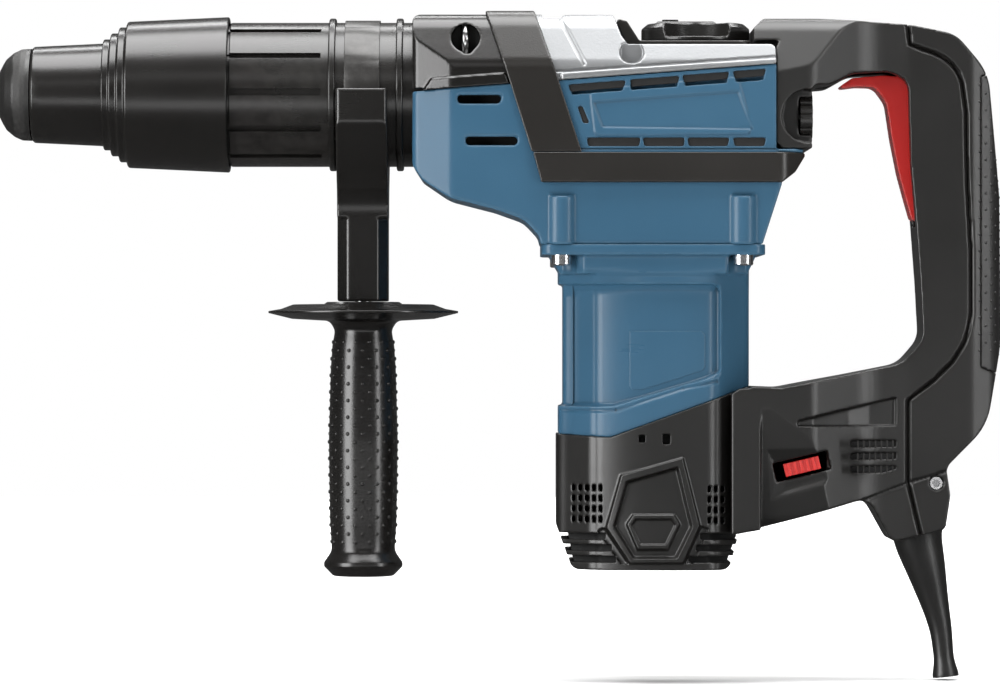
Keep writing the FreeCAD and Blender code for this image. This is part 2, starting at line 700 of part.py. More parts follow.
def make_gear_case():
    """Case around the gear train, open to the motor below and closed by hood and casting above."""
    case = shell.common(case_region()).common(box(150, 420, -60, 60, split_z + EPS, 40))
    floor_hole = slab(inset(body_side(), WALL), case_half - 2 * WALL - SEAT)
    floor_hole = floor_hole.common(box(265, 366, -60, 60, split_z - 1, -60))
    case = case.cut(box(266, 363, -36, 36, split_z - 1, split_z + WALL + 1)).cut(floor_hole)
    columns = []
    for x, y in motor_screws:
        for sign in (-1, 1):
            columns.append(rod_z(split_z + EPS, -50, 7.4, x, sign * y))
    # rear ledge under the handle's body part
    ledge = box(panel_end_x - WALL, ledge_end_x, -handle_half, handle_half, belt_z1 + SEAT, ledge_z)
    corners = [e for e in ledge.Edges if e.BoundBox.XMin > ledge_end_x - EPS and e.BoundBox.ZLength > 1]
    ledge = ledge.makeChamfer(4.0, corners)
    case = fuse(case, ledge, *columns)
    case = case.cut(both_sides(prism(inset(panel_side(), -SEAT), "y", case_half - WALL - SEAT, 60)))
    for cutter in upper_vents(-60, 60) + lower_vents(-60, 60):
        case = case.cut(cutter.cut(box(200, 400, -case_half + WALL + 2, case_half - WALL - 2, -40, 20)))
    for cutter in case_vents(-60, 60):
        case = case.cut(cutter.cut(box(200, 400, -case_half + 3, case_half - 3, -40, 20)))
    for x, y in motor_screws:
        for sign in (-1, 1):
            case = case.cut(rod_z(split_z - 1, split_z + 16.5, 3.0 + SEAT, x, sign * y))
    return case


def band_side():
    """Side outline of the saddle band: it leans back, and steepens below the shoulder."""
    b = band_width
    knee = 9.7
    low = belt_z1 + 0.2
    return [(lean(60), 60), (lean(60) + b, 60), (lean(knee) + b, knee), (281.6, low), (257.6, low),
            (lean(knee), knee)]


def make_band():
    proud = body_block(-1.8, -1.8).cut(body_block(-SEAT, -SEAT))
    band = proud.common(slab(band_side(), 70))
    return band.cut(box(240, 290, -case_half + 4.5, case_half - 4.5, -60, 10))


def make_belt():
    """Rubbing belt: one strip on each side, rounded at the rear corner."""
    strip = [(258.2, belt_z1), (262.2, belt_z0), (377.0, belt_z0, 2), (383.6, -38.6, 3),
             (388.6, -30.6, 1.5), (387.8, belt_z1)]
    outer = case_half + 3.5
    corner = outer - 10.0
    block = slab(strip, 60).common(prism([(258, -outer), (378, -outer, 8), (388.8, -corner, 6),
                                          (388.8, corner, 6),
                                          (378, outer, 8), (258, outer)], "z", -60, 0))
    block = block.cut(slab(inset(body_side(), -SEAT),
                           60).common(box(250, 400, -case_half - SEAT, case_half + SEAT, -60, 0)))
    return block.cut(box(250, 376.5, -case_half + 0.5, case_half - 0.5, -60, 0))


# ================================================================ motor
barrel_front_x = motor_x + 0.65 - motor_half_x
barrel_rear_x = motor_x + 0.65 + motor_half_x


def barrel_plan(step):
    """Rounded octagon of the motor barrel, moved inwards by a step."""
    cx, a, b, c = motor_x + 0.65, motor_half_x, motor_half_y, 17.0
    return inset([(cx - a, -b + c, 9), (cx - a + c, -b, 9), (cx + a - c, -b, 9), (cx + a, -b + c, 9),
                  (cx + a, b - c, 9), (cx + a - c, b, 9), (cx - a + c, b, 9), (cx - a, b - c, 9)], step)


flange_h = 5.0
cap_joint = [(230, -161.5), (295.0, -165.4), (361.5, -141.3), (400, -127.3)]


def below_joint(drop):
    """Everything under the slanted joint between motor housing and end cap."""
    points = [(x, z - drop) for x, z in cap_joint]
    return slab(points + [(400, cap_bottom_z - 30), (230, cap_bottom_z - 30)], 70)


def make_motor_housing():
    """Barrel with a four-screw flange, a shallow recessed field around front and sides, and stator seats."""
    barrel = prism(barrel_plan(0), "z", -170, split_z - flange_h)
    reach = case_half + 1.5
    flange_plan = [(262.2, -reach, 6), (369.2, -reach, 6), (369.2, reach, 6), (262.2, reach, 6)]
    flange = prism(flange_plan, "z", split_z - flange_h, split_z)
    taper_z0, taper_z1 = split_z - flange_h - 9, split_z - flange_h + EPS
    taper = slab([(266, taper_z1), (365.6, taper_z1), (361, taper_z0), (271.5, taper_z0)], case_half - 0.9)
    taper = taper.common(prism(inset(barrel_plan(0), -4), "z", -100, -70))
    for x, y in motor_screws:
        for sign in (-1, 1):
            taper = taper.cut(rod_z(-100, split_z - flange_h, 7.0, x, sign * y))
    body = fuse(barrel, flange, taper)
    field = slab([(250, -92.2), (345.3, -92.2, 3), (347.7, -95.5, 3), (347.7, -134, 3), (339.5, -137.7),
                  (295.8, -150.4),
                  (250, -150.4)], 70)
    body = body.cut(field.cut(prism(barrel_plan(2.2), "z", -200, -60)))
    hollow = prism(barrel_plan(WALL + 2.2), "z", -180, split_z - 3)
    body = body.cut(hollow).cut(below_joint(0))
    seats = fuse(ring_z_solid(-108, -103, stator_r + SEAT, 60, motor_x),
                 ring_z_solid(-138, -133, stator_r + SEAT, 60, motor_x))
    body = body.fuse(seats.common(prism(barrel_plan(WALL), "z", -180, split_z - 3)))
    body = body.cut(rod_z(split_z - 4, split_z + 1, 34.5, motor_x))
    for x, y in motor_screws:
        for sign in (-1, 1):
            body = body.cut(rod_z(split_z - 20, split_z + 1, 3.0 + SEAT, x, sign * y))
    return body


def cap_side():
    shoulder_z = cap_bottom_z + 20.9
    return [(barrel_front_x - 1, -120), (barrel_front_x - 1, shoulder_z, 4), (277.2, cap_bottom_z, 5),
            (352.2, cap_bottom_z, 5),
            (357.5, shoulder_z - 2, 6), (barrel_rear_x - 0.2, shoulder_z + 8), (barrel_rear_x - 0.2, -120)]


def make_end_cap():
    """Cup that closes the motor's lower end, with vents, louvres and the lower bearing's seat."""
    outer = slab(cap_side(), 60).common(prism(inset(barrel_plan(0), -1.0), "z", cap_bottom_z - 10, -100))
    outer = outer.common(below_joint(SEAT))
    hollow = slab(inset(cap_side(), WALL), 60).common(prism(barrel_plan(WALL), "z", cap_bottom_z - 10,
                                                            -100))
    hollow = hollow.fuse(prism(barrel_plan(WALL), "z", -190, -100))
    cap = outer.cut(hollow)
    # vent field on each side: columns of short slots, front and rear of the hexagonal frame
    vents = []
    for k in range(5):
        for row in range(4):
            x0, z1 = 277.0 + 3.2 * k, -188.0 - 5.0 * row
            vents.append(box(x0, x0 + 1.7, -60, 60, z1 - 3.2, z1))
    for k in range(3):
        for row in range(4):
            x0, z1 = 341.6 + 3.2 * k, -188.5 - 5.0 * row
            vents.append(box(x0, x0 + 1.7, -60, 60, z1 - 3.2, z1))
    cap = cap.cut(Part.makeCompound(vents))
    seat = ring_z_solid(low_bearing_z - 0.1, low_bearing_z + 10.9, low_bearing_r + SEAT, low_bearing_r + 5,
                        motor_x)
    arms = []
    for angle in (45, 135, 225, 315):
        arm = box(low_bearing_r + 3, 50, -2.5, 2.5, low_bearing_z - 0.1, low_bearing_z + 5.9)
        arm.rotate(Vector(0, 0, 0), Vector(0, 0, 1), angle)
        arm.translate(Vector(motor_x, 0, 0))
        arms.append(arm)
    web = fuse(*arms).common(prism(barrel_plan(WALL - EPS), "z", cap_bottom_z - 10, -100))
    return fuse(cap, seat, web)


bearing_r = 13.0
low_bearing_r = 11.0


def make_gear_plate():
    """Plate between gear room and motor, carrying the shafts' lower bearings."""
    floor = body_block(WALL + SEAT, 2 * WALL + 2 * SEAT)
    floor = floor.common(box(150, 360, -60, 60, plate_z, shaft_seat_z - 0.3))
    neck = rod_z(-71, plate_z + EPS, 17, motor_x)
    plate = fuse(floor, neck).cut(rod_z(-72, shaft_seat_z, 8, motor_x))
    plate = plate.cut(rod_z(-72, -62, bearing_r + SEAT, motor_x))
    for x in (crank_x, lay_x):
        plate = plate.cut(rod_z(plate_z + 1.5, shaft_seat_z + 1, bearing_r + SEAT, x))
        plate = plate.cut(rod_z(plate_z - 1, shaft_seat_z, 7, x))
    return plate.cut(columns_room())


def columns_room():
    rooms = []
    for x, y in motor_screws:
        for sign in (-1, 1):
            rooms.append(rod_z(split_z - 1, -49.5, 7.4 + GAP, x, sign * y))
    return fuse(*rooms)


def make_shaft_bearings():
    rings = []
    for x in (crank_x, lay_x):
        rings.append(ring_z_solid(plate_z + 1.6, shaft_seat_z - 0.4, 5.0 + RUN, bearing_r, x))
    rings.append(ring_z_solid(-70.9, -62.1, shaft_r + RUN, bearing_r, motor_x))
    rings.append(ring_z_solid(low_bearing_z, low_bearing_z + 8.9, shaft_r + RUN, low_bearing_r, motor_x))
    return fuse(*rings)


def make_spindle_bearings():
    front = ring_x_solid(118, 132, cylinder_r + RUN, neck_bore_r - SEAT)
    rear = ring_x_solid(186, 198, cylinder_r + RUN, neck_bore_r - SEAT)
    return fuse(front, rear)


def make_armature_shaft():
    """Motor shaft with its pinion at the top, meshing with the crank gear's rear."""
    pinion = spur_gear(motor_x, crank_z0, crank_z1, pinion_teeth, drive_m, 0.5, 1.15, 0.25,
                       math.pi / pinion_teeth + math.pi)
    shaft = rod_z(low_bearing_z - 5.1, -58, shaft_r, motor_x)
    tip = rod_z(-58.1, crank_z1, 3.3, motor_x)
    return fuse(shaft, tip, pinion)


def make_armature_core():
    core = ring_z_solid(-157, -103, shaft_r + EPS, armature_r, motor_x)
    slots = []
    for k in range(16):
        slot = box(armature_r - 7, armature_r + 1, -1.1, 1.1, -158, -102)
        slot.rotate(Vector(0, 0, 0), Vector(0, 0, 1), 22.5 * k)
        slot.translate(Vector(motor_x, 0, 0))
        slots.append(slot)
    return core.cut(Part.makeCompound(slots))


def make_windings():
    """End windings of the armature, above and below its core."""
    return fuse(turned_z([(shaft_r + EPS, -103), (22, -103, 1), (20, -96, 2), (shaft_r + EPS, -94)],
                         motor_x),
                turned_z([(shaft_r + EPS, -157), (22, -157, 1), (18, -166, 2), (shaft_r + EPS, -168)],
                         motor_x))


def make_commutator():
    ring = ring_z_solid(-192, -170, shaft_r + EPS, 14.5, motor_x)
    cuts = []
    for k in range(24):
        cut = box(12.8, 15, -0.3, 0.3, -193, -169)
        cut.rotate(Vector(0, 0, 0), Vector(0, 0, 1), 15 * k)
        cut.translate(Vector(motor_x, 0, 0))
        cuts.append(cut)
    return ring.cut(Part.makeCompound(cuts))


def make_fan():
    """Radial fan above the armature."""
    disc = ring_z_solid(-82, -80, shaft_r + EPS, 33, motor_x)
    hub = ring_z_solid(-91, -79, shaft_r + EPS, 9, motor_x)
    blades = []
    for k in range(12):
        blade = box(8.5, 32.5, -0.8, 0.8, -91, -81.9)
        blade.rotate(Vector(0, 0, 0), Vector(0, 0, 1), 30 * k)
        blade.translate(Vector(motor_x, 0, 0))
        blades.append(blade)
    return fuse(disc, hub, *blades)


def make_stator():
    ring = ring_z_solid(-157, -102, 31.5, stator_r, motor_x)
    poles = ring_z_solid(-157, -102, armature_r + 0.5, 32, motor_x)
    return fuse(ring, poles.common(box(motor_x - 50, motor_x + 50, -15, 15, -170, -90)))


def make_field_coils():
    """Two windings, one around each pole, showing above and below the stator."""
    coils = []
    for x0, x1 in ((motor_x - 50, motor_x - 5), (motor_x + 5, motor_x + 50)):
        block = ring_z_solid(-166, -94, armature_r + 2.0, 31,
                             motor_x).common(box(x0, x1, -26, 26, -170, -90))
        coils.append(block.cut(box(motor_x - 60, motor_x + 60, -15 - SEAT, 15 + SEAT, -157 - SEAT,
                                   -102 + SEAT)))
    return fuse(*coils)


brush_z = -181.0


def make_brush_holders():
    """Brass box on each side of the commutator, on an insulating plate."""
    left = box(motor_x - 6, motor_x + 6, 17, 37, brush_z - 9, brush_z + 9).cut(
        box(motor_x - 3.3, motor_x + 3.3, 16, 35.5, brush_z - 6.3, brush_z + 6.3))
    foot = box(motor_x - 9, motor_x + 9, 37 - EPS, motor_half_y - WALL - SEAT, brush_z - 11, brush_z + 11)
    return both_sides(fuse(left, foot))


def make_brushes():
    return both_sides(box(motor_x - 3.2, motor_x + 3.2, 14.6, 28, brush_z - 6.2, brush_z + 6.2))


def make_motor_screws():
    screws = []
    for x, y in motor_screws:
        for sign in (-1, 1):
            top = Vector(x, sign * y, split_z - flange_h - 5 - SEAT)
            screws.append(screw(top, Vector(0, 0, -1), 4.9, 5.0, 3.0, 18.0))
    return fuse(*screws)


# ================================================================ mode knob
knob_x, knob_r = 337.2, 26.2
tray_z = deck_z + SEAT


def make_selector_cover():
    """Dark tray under the mode knob, with a wedge in front of it."""
    side = [(298.0, top_z - 2.0, 1), (303.4, top_z - 3.4, 1), (309.4, tray_z + 2.2), (362.6, tray_z + 2.2),
            (362.6, tray_z),
            (303.6, tray_z), (301.4, deck_z + 4.2)]
    plan = [(290, -30, 4), (363.4, -30, 6), (363.4, 30, 6), (290, 30, 4)]
    tray = slab(side, 40).common(prism(plan, "z", 0, 60))
    return tray.cut(rod_z(0, 60, 5.4, knob_x)).cut(rod_z(tray_z + 2.2, 60, knob_r + 0.8, knob_x))


def make_mode_knob():
    """Round knob with a raised grip bar, an index nose at the rear and a spindle down through the deck."""
    z0 = tray_z + 2.5
    base = turned_z([(0, z0), (knob_r, z0), (knob_r, z0 + 6.5, 1), (knob_r - 3, z0 + 9.0, 1),
                     (0, z0 + 9.0)], knob_x)
    scallops = both_sides(turned_z([(0, z0 + 2), (15, z0 + 2), (18, z0 + 12), (0, z0 + 12)], knob_x, 25))
    grip = slab([(317.8, z0 + 2), (317.8, z0 + 10.2, 1.5), (346, z0 + 10.2, 2), (351, z0 + 5),
                 (351, z0 + 2)], 7.5)
    spindle = rod_z(deck_z - 6, z0 + EPS, 5.0, knob_x)
    clip = rod_z(deck_z - 7, deck_z - 3.5, 7.5, knob_x)
    knob = fuse(base.cut(scallops), grip, spindle, clip)
    knob = knob.cut(button_room())
    return knob


button_x, button_half = 325.0, 4.2


def button_room():
    z0 = tray_z + 2.5
    h = button_half
    return prism([(button_x - h, -h, 2), (button_x + h, -h, 2), (button_x + h, h, 2), (button_x - h, h, 2)],
                 "z", z0 + 3.5, 60)


def make_mode_button():
    """Release button in the knob's grip bar."""
    z0 = tray_z + 2.5
    h = button_half - GAP
    return prism([(button_x - h, -h, 2), (button_x + h, -h, 2), (button_x + h, h, 2), (button_x - h, h, 2)],
                 "z", z0 + 6.2, z0 + 11.2)


# ================================================================ rear handle
def handle_side():
    """Side outline of the whole rear handle: upper arm, grip, lower arm with cable gland, and body part."""
    rear_x = panel_end_x + SEAT
    return [
        (364.0, 24.8), (364.0, 30.6), (369.0, 35.6, 3), (395, 35.6, 40), (440, 33.0, 40), (462, 28.6, 16),
        (478, 10, 26),
        (483.8, -50, 60), (484.6, -120, 60), (477.5, -160, 30), (457.4, -180.2, 6), (459.4, -194, 12),
        (457.0, -210.3, 4),
        (431.0, -216.2, 4), (419.2, -194.8, 8), (388, -203.4, 20), (barrel_rear_x + 0.1, -210),
        (barrel_rear_x + 0.1, -141.2),
        (377.3, -141.8, 20), (407.4, -136.0, 40), (436.0, -130.2, 14), (446.4, -118.0, 12),
        (445.0, -92, 40), (442.6, -60, 30),
        (440.4, -36, 30), (439.2, 6, 12), (430, 10.4, 10), (412, 9.4, 12), (401.6, 3.6, 8), (391.7, 3.0, 3),
        (391.7, -27.4),
        (rear_x + 3.2, -27.4), (rear_x, -24.5), (rear_x, 20.6), (rear_x + 1.6, 24.8),
    ]


def handle_plan():
    half, crown = handle_half, grip_half - 6.5
    left = [(355, -half), (372, -half, 20), (392, -half + 2, 14), (420, -24.5, 40),
            (440, -grip_half - 1.5, 40),
            (470, -grip_half, 12), (485.2, -crown, 12)]
    return left + [(x, -y) + tuple(r) for x, y, *r in reversed(left)]


def handle_block(step):
    """The handle's solid, moved inwards by a step."""
    block = slab(inset(handle_side(), step), 60).common(prism(inset(handle_plan(), step), "z", -230, 60))
    half, middle_z = handle_half + 0.2, -100.0
    crown, foot = half - 13.2, half - 9.2
    upper = [(-crown, 35.7, 12), (-half, 8, 12), (-half, middle_z), (half, middle_z), (half, 8, 12),
             (crown, 35.7, 12)]
    lower = [(-half, middle_z), (-half, -150, 12), (-foot, -217, 16), (foot, -217, 16), (half, -150, 12),
             (half, middle_z)]
    upper = prism(inset(upper, step), "x", 340, 500)
    lower = prism(inset(lower, step), "x", 340, 500)
    return block.common(upper.fuse(lower).removeSplitter())


seam = [(438.9, 60), (438.9, 33), (439.9, 23.3), (451.5, 19.4, 8), (460.3, 14.1, 8), (465.1, 5.3, 8),
        (467.1, -9.7),
        (467.5, -40.7), (469.5, -77.6), (469.5, -106.2, 10), (466.6, -119.8, 10), (460.3, -129.5, 10),
        (451.5, -138.2, 10),
        (438.9, -147.9, 4), (438.9, -186.7), (447.2, -221.6), (449, -240)]
soft_depth = 1.8
handle_wall = 3.6


def seam_region(front):
    if front:
        return slab(seam + [(330, -240), (330, 60)], 70)
    shifted = [(p[0] + SEAT,) + tuple(p[1:]) for p in seam]
    return slab(shifted + [(520, -240), (520, 60)], 70)


def soft_region(step):
    """Where the soft cover lies on the back of the grip."""
    return slab(inset([(474.5, 8), (500, 18), (500, -142), (474.5, -132)], step), 70)


handle_outer = handle_block(0)
handle_hollow = handle_block(handle_wall)
handle_shell = handle_outer.cut(handle_hollow)
trigger_half = 11.0
trigger_pivot_x, trigger_pivot_z = 446.0, -57.0
stub_half, stub_r = 14.5, 2.0
dial_x0, dial_x1 = 386.4, 392.2
dial_y, dial_z, dial_r = -24.0, -11.8, 12.6


def trigger_room():
    """Slot in the grip's front wall for the trigger and its travel."""
    half = trigger_half + 0.5
    return slab([(396, -2), (396, 8), (411, 13.5), (447, 13.5), (450, 0), (450, -64), (440, -64),
                 (432, -40),
                 (425, -2)], half)


def make_handle_front():
    body = handle_shell.common(seam_region(True)).cut(trigger_room())
    eye = rod_y(trigger_half + 0.5, 20, 4.5, trigger_pivot_x, trigger_pivot_z).common(handle_outer)
    pin_room = rod_y(-stub_half - GAP, stub_half + GAP, stub_r + RUN, trigger_pivot_x, trigger_pivot_z)
    body = fuse(body, both_sides(eye)).cut(pin_room)
    # speed dial's opening in the rear wall, and a finger scallop beside it
    floor = rod_y(-34, -31, 14.5, 390, dial_z).common(handle_outer)
    body = fuse(body, floor).cut(rod_y(-60, -34, 12.8, 390, dial_z))
    body = body.cut(rod_x(dial_x0 - 0.8, 400, dial_r + 0.5, dial_y, dial_z))
    # pocket of the lock slide, both sides of its tilted track
    pocket = slide_box(13.5, 4.6, 31, 60).cut(slide_box(14, 5, 20, slide_y - 0.2))
    body = body.cut(pocket)
    return body.cut(gland_bore())


slide_cx, slide_cz, slide_tilt = 387.0, -179.3, 13.5
slide_y = 33.4


def slide_box(half_long, half_high, y0, y1):
    """A tilted block along the lock slide's track, on the left side of the handle."""
    block = box(-half_long, half_long, -y1, -y0, -half_high, half_high)
    block.Placement = FreeCAD.Placement(Vector(slide_cx, 0, slide_cz),
                                        FreeCAD.Rotation(Vector(0, 1, 0), -slide_tilt))
    return block


def make_lock_slide():
    """Slide that locks the trigger on, with a ribbed face."""
    slide = slide_box(8.6, 3.1, slide_y + 0.1, slide_y + 4.2)
    ribs = []
    for k in range(5):
        rib = box(-6.2 + 3 * k - 0.6, -6.2 + 3 * k + 0.6, -slide_y - 4.8, -slide_y - 4.1, -3.1, 3.1)
        rib.Placement = FreeCAD.Placement(Vector(slide_cx, 0, slide_cz),
                                          FreeCAD.Rotation(Vector(0, 1, 0), -slide_tilt))
        ribs.append(rib)
    return fuse(slide, *ribs)


def make_handle_rear():
    """Back half of the handle, recessed for the soft cover."""
    body = handle_shell.common(seam_region(False))
    recess = soft_region(-SEAT).cut(handle_block(soft_depth + SEAT))
    body = body.cut(recess)
    for x, z in handle_screws:
        column = rod_y(-30, 30, 4.6, x, z).common(handle_outer).common(seam_region(False))
        head = both_sides(rod_y(handle_screw_y - 3.0 - SEAT, 60, 3.4 + 0.2, x, z))
        body = fuse(body, column).cut(rod_y(-60, 60, 2.0 + SEAT, x, z)).cut(head)
    return body.cut(gland_bore())


def make_soft_grip():
    return handle_outer.cut(handle_block(soft_depth)).common(soft_region(0))


handle_screw_y = 19.0
handle_screws = [(452.6, -187.8)]


def make_handle_screws():
    """Socket screws that hold the handle's halves, one on each side at the gland."""
    shapes = []
    for x, z in handle_screws:
        shapes.append(both_sides(screw(Vector(x, -handle_screw_y, z), Vector(0, -1, 0), 3.4, 3.0, 2.0,
                                       12.0)))
    return fuse(*shapes)


def make_housing_screws():
    return fuse(make_motor_screws(), make_handle_screws())


def make_trigger():
    """Long trigger, hinged at its lower end and hooked forward at its top."""
    outline = [
        (403.8, 2.0, 1), (414.7, 3.4, 8), (423.5, 3.2, 6), (429.0, -4.5, 10), (431.6, -21.8, 30),
        (435.0, -38.8, 30),
        (438.6, -52.0, 10), (441.2, -61.0, 2), (447.5, -62.0, 3), (449.5, -56.0, 3), (444.2, -40, 10),
        (443.0, -10, 20),
        (442.2, 4.2, 4), (436.0, 8.6, 3), (427.5, 9.3, 4), (412.5, 8.0, 4),
    ]
    return slab(outline, trigger_half).fuse(rod_y(-stub_half, stub_half, stub_r, trigger_pivot_x,
                                                  trigger_pivot_z))


def make_switch():
    """Switch module behind the trigger."""
    return prism([(453.5, -44, 1), (464.5, -44, 1), (464.5, -4, 1), (453.5, -4, 1)], "y", -9, 9)


def make_electronics():
    """Potted speed controller in front of the dial."""
    body = box(379.0, 385.0, -30.5, 34, -24, 14).cut(rod_x(380.5, 390, 3.4, dial_y, dial_z))
    return body.common(handle_block(handle_wall + GAP))


def make_speed_wheel():
    """Speed dial with a notched rim, on a short axle that points forward."""
    dial = rod_x(dial_x0, dial_x1, dial_r, dial_y, dial_z)
    cuts = []
    ring = dial_r + 0.3
    for k in range(12):
        a = math.radians(30 * k)
        cuts.append(rod_x(dial_x0 - 1, dial_x1 + 1, 1.5, dial_y + ring * math.cos(a),
                          dial_z + ring * math.sin(a)))
    return fuse(dial.cut(Part.makeCompound(cuts)), rod_x(381.0, dial_x0 + EPS, 3.0, dial_y, dial_z))


# ================================================================ cable gland and boot
boot_line = [(444.0, -206.0, 12.8), (445.2, -214.0, 12.0), (448.0, -226.0, 10.2), (451.2, -238.0, 8.2),
             (454.2, -250.0, 6.4), (456.6, -262.0, 5.3)]          # x, z, radius
boot_end_x, boot_end_z = 458.7, -282.0
boot_bell = [(7.0, 5.0), (11.5, 5.05), (16.5, 5.9), (20.1, 6.3)]     # distance past the curve's end, radius
boot_bore = 4.0
collar_r = 14.0


def boot_axis():
    """Direction of the boot's straight end."""
    last = boot_line[-1]
    return Vector(boot_end_x - last[0], 0, boot_end_z - last[1]).normalize()


def boot_circles(extra, inner):
    """Circles across the boot's curved line, grown by extra, or the narrower ones of its inside."""
    wires = []
    for i, (x, z, r) in enumerate(boot_line):
        before, after = boot_line[max(i - 1, 0)], boot_line[min(i + 1, len(boot_line) - 1)]
        axis = Vector(after[0] - before[0], 0, after[1] - before[1]).normalize()
        if i == 0:
            axis = Vector(0, 0, -1)
        if i == len(boot_line) - 1:
            axis = boot_axis()
        radius = max(r - 2.4, 3.4) if inner else r + extra
        wires.append(Part.Wire(Part.makeCircle(radius, Vector(x, 0, z), axis)))
    return wires


def make_cable_boot():
    """Bend relief: a tapering sleeve with a short bell at its lower end and a collar held in the handle."""
    axis = boot_axis()
    start = Vector(boot_line[-1][0], 0, boot_line[-1][1])
    circles = boot_circles(0, False)
    for along, r in boot_bell:
        circles.append(Part.Wire(Part.makeCircle(r, start + axis * along, axis)))
    outer = Part.makeLoft(circles, True, False)
    collar = rod_z(-207.0, -202.0, collar_r, boot_line[0][0])
    tube = outer.fuse(collar)
    inside = Part.makeLoft(boot_circles(0, True), True, False)
    throat = rod_z(-206.5, -201.0, boot_line[0][2] - 3.2, boot_line[0][0])
    straight = Part.makeCylinder(boot_bore, 30, start - axis * 1.5, axis)
    return tube.cut(inside).cut(throat).cut(straight)


def gland_bore():
    """Room in the handle for the boot and its collar."""
    hole = Part.makeLoft(boot_circles(0.4, False), True, False)
    return fuse(hole, rod_z(-207.3, -201.7, collar_r + 0.3, boot_line[0][0]))


# ================================================================ side handle
clamp_half = 12.3
strap_half = 8.5
lug_half = 6.5
strap_t = 1.0
strap_r = neck_r + 0.08


def make_strap():
    """Steel band around the neck, its tail reaching down to the clamp bolt."""
    band = ring_x_solid(clamp_x - strap_half, clamp_x + strap_half, strap_r, strap_r + strap_t)
    lug = box(clamp_x - strap_half, clamp_x + strap_half, -lug_half, lug_half, -strap_r - 6, -strap_r - 0.4)
    lug = lug.cut(rod_x(clamp_x - 20, clamp_x + 20, strap_r + 0.4))
    return fuse(band, lug).cut(rod_z(-60, -strap_r - strap_t - EPS, bolt_r + SEAT, clamp_x))


def make_cradle():
    """Moulded cradle under the neck, and the stem that spaces the grip from the machine."""
    x0, x1 = clamp_x - clamp_half, clamp_x + clamp_half
    half, stem = neck_r + cradle_wall, stem_half_y
    cheek_z, stem_z, foot_z = -neck_r - 1.1, -neck_r - 15.1, grip_top_z + GAP
    left = [(-half, 1.5, 1), (-half, -15, 6), (-half + 13, cheek_z, 14), (-stem, stem_z, 20),
            (-stem, foot_z)]
    section = left + [(-y, z) + tuple(r) for y, z, *r in reversed(left)]
    body = prism(section, "x", x0, x1)
    plan = [(x0, -half, 2), (x1, -half, 2), (x1, half, 2), (x0, half, 2)]
    edge, slope, low_z = stem - 6.0, 5.0, -neck_r - 25.0
    stem_plan = [(x0, -edge, 3), (x0 + slope, -stem, 3), (x1 - slope, -stem, 3), (x1, -edge, 3),
                 (x1, edge, 3), (x1 - slope, stem, 3), (x0 + slope, stem, 3), (x0, edge, 3)]
    body = body.common(prism(plan, "z", low_z - 0.1, 5).fuse(prism(stem_plan, "z", foot_z - 1, low_z)))
    body = body.cut(rod_x(x0 - 1, x1 + 1, strap_r + strap_t + SEAT))
    room0, room1 = clamp_x - strap_half - SEAT, clamp_x + strap_half + SEAT
    body = body.cut(box(room0, room1, -lug_half - SEAT, lug_half + SEAT, -strap_r - 6.5, -strap_r + 5))
    rail_r = strap_r + strap_t + 2.0
    rails = fuse(ring_x_solid(x0, room0, strap_r, rail_r), ring_x_solid(room1, x1, strap_r, rail_r))
    body = body.fuse(rails.common(box(x0, x1, -60, 60, -60, 1.5)))
    return body.cut(rod_z(foot_z - 2, -strap_r, bolt_r + 0.3, clamp_x))


bolt_r = 4.0
bolt_end_z = -150.0


def make_clamp_bolt():
    return rod_z(bolt_end_z, -strap_r - strap_t - 0.2, bolt_r, clamp_x)


def make_side_grip():
    """Round grip under a wide guard disc, bored for the clamp bolt and its nut."""
    z, bore, well, waist = guard_z, bolt_r + RUN, bolt_r + RUN + 3.6, grip_r - 3.0
    profile = [
        (bore, grip_top_z), (waist + 3.8, grip_top_z, 1), (waist + 5.3, z + 3.4, 1),
        (guard_r - 12, z + 3.2, 3), (guard_r - 6, z + 1, 3),
        (guard_r, z, 0.4), (guard_r, z - 1, 0.4), (guard_r - 11.5, z - 3.8, 3), (waist + 2.8, z - 4.8, 4),
        (waist, z - 9.2, 5),
        (grip_r - 1.7, z - 16.7, 12), (grip_r - 0.9, z - 28.2, 20), (grip_r, z - 62.2, 60),
        (grip_r - 0.5, grip_end_z + 27.3, 30),
        (grip_r - 1.4, grip_end_z + 12.3, 6), (grip_r + 2.4, grip_end_z + 6.8, 2),
        (grip_r + 2.4, grip_end_z + 4.7, 1.5),
        (grip_r - 2.2, grip_end_z, 3), (6, grip_end_z), (6, grip_end_z + 4), (well, grip_end_z + 4),
        (well, bolt_end_z - 4),
        (bore, bolt_end_z - 4),
    ]
    return turned_z(profile, clamp_x).cut(nut_room(SEAT))


def nut_room(extra):
    r = 7.5 + extra
    corners = [(clamp_x + r * math.cos(math.radians(60 * k)),
                r * math.sin(math.radians(60 * k))) for k in range(6)]
    return prism(corners, "z", bolt_end_z + 9 - extra, bolt_end_z + 16 + extra)


def make_grip_nut():
    return nut_room(0).cut(rod_z(-150, -130, bolt_r + RUN, clamp_x))


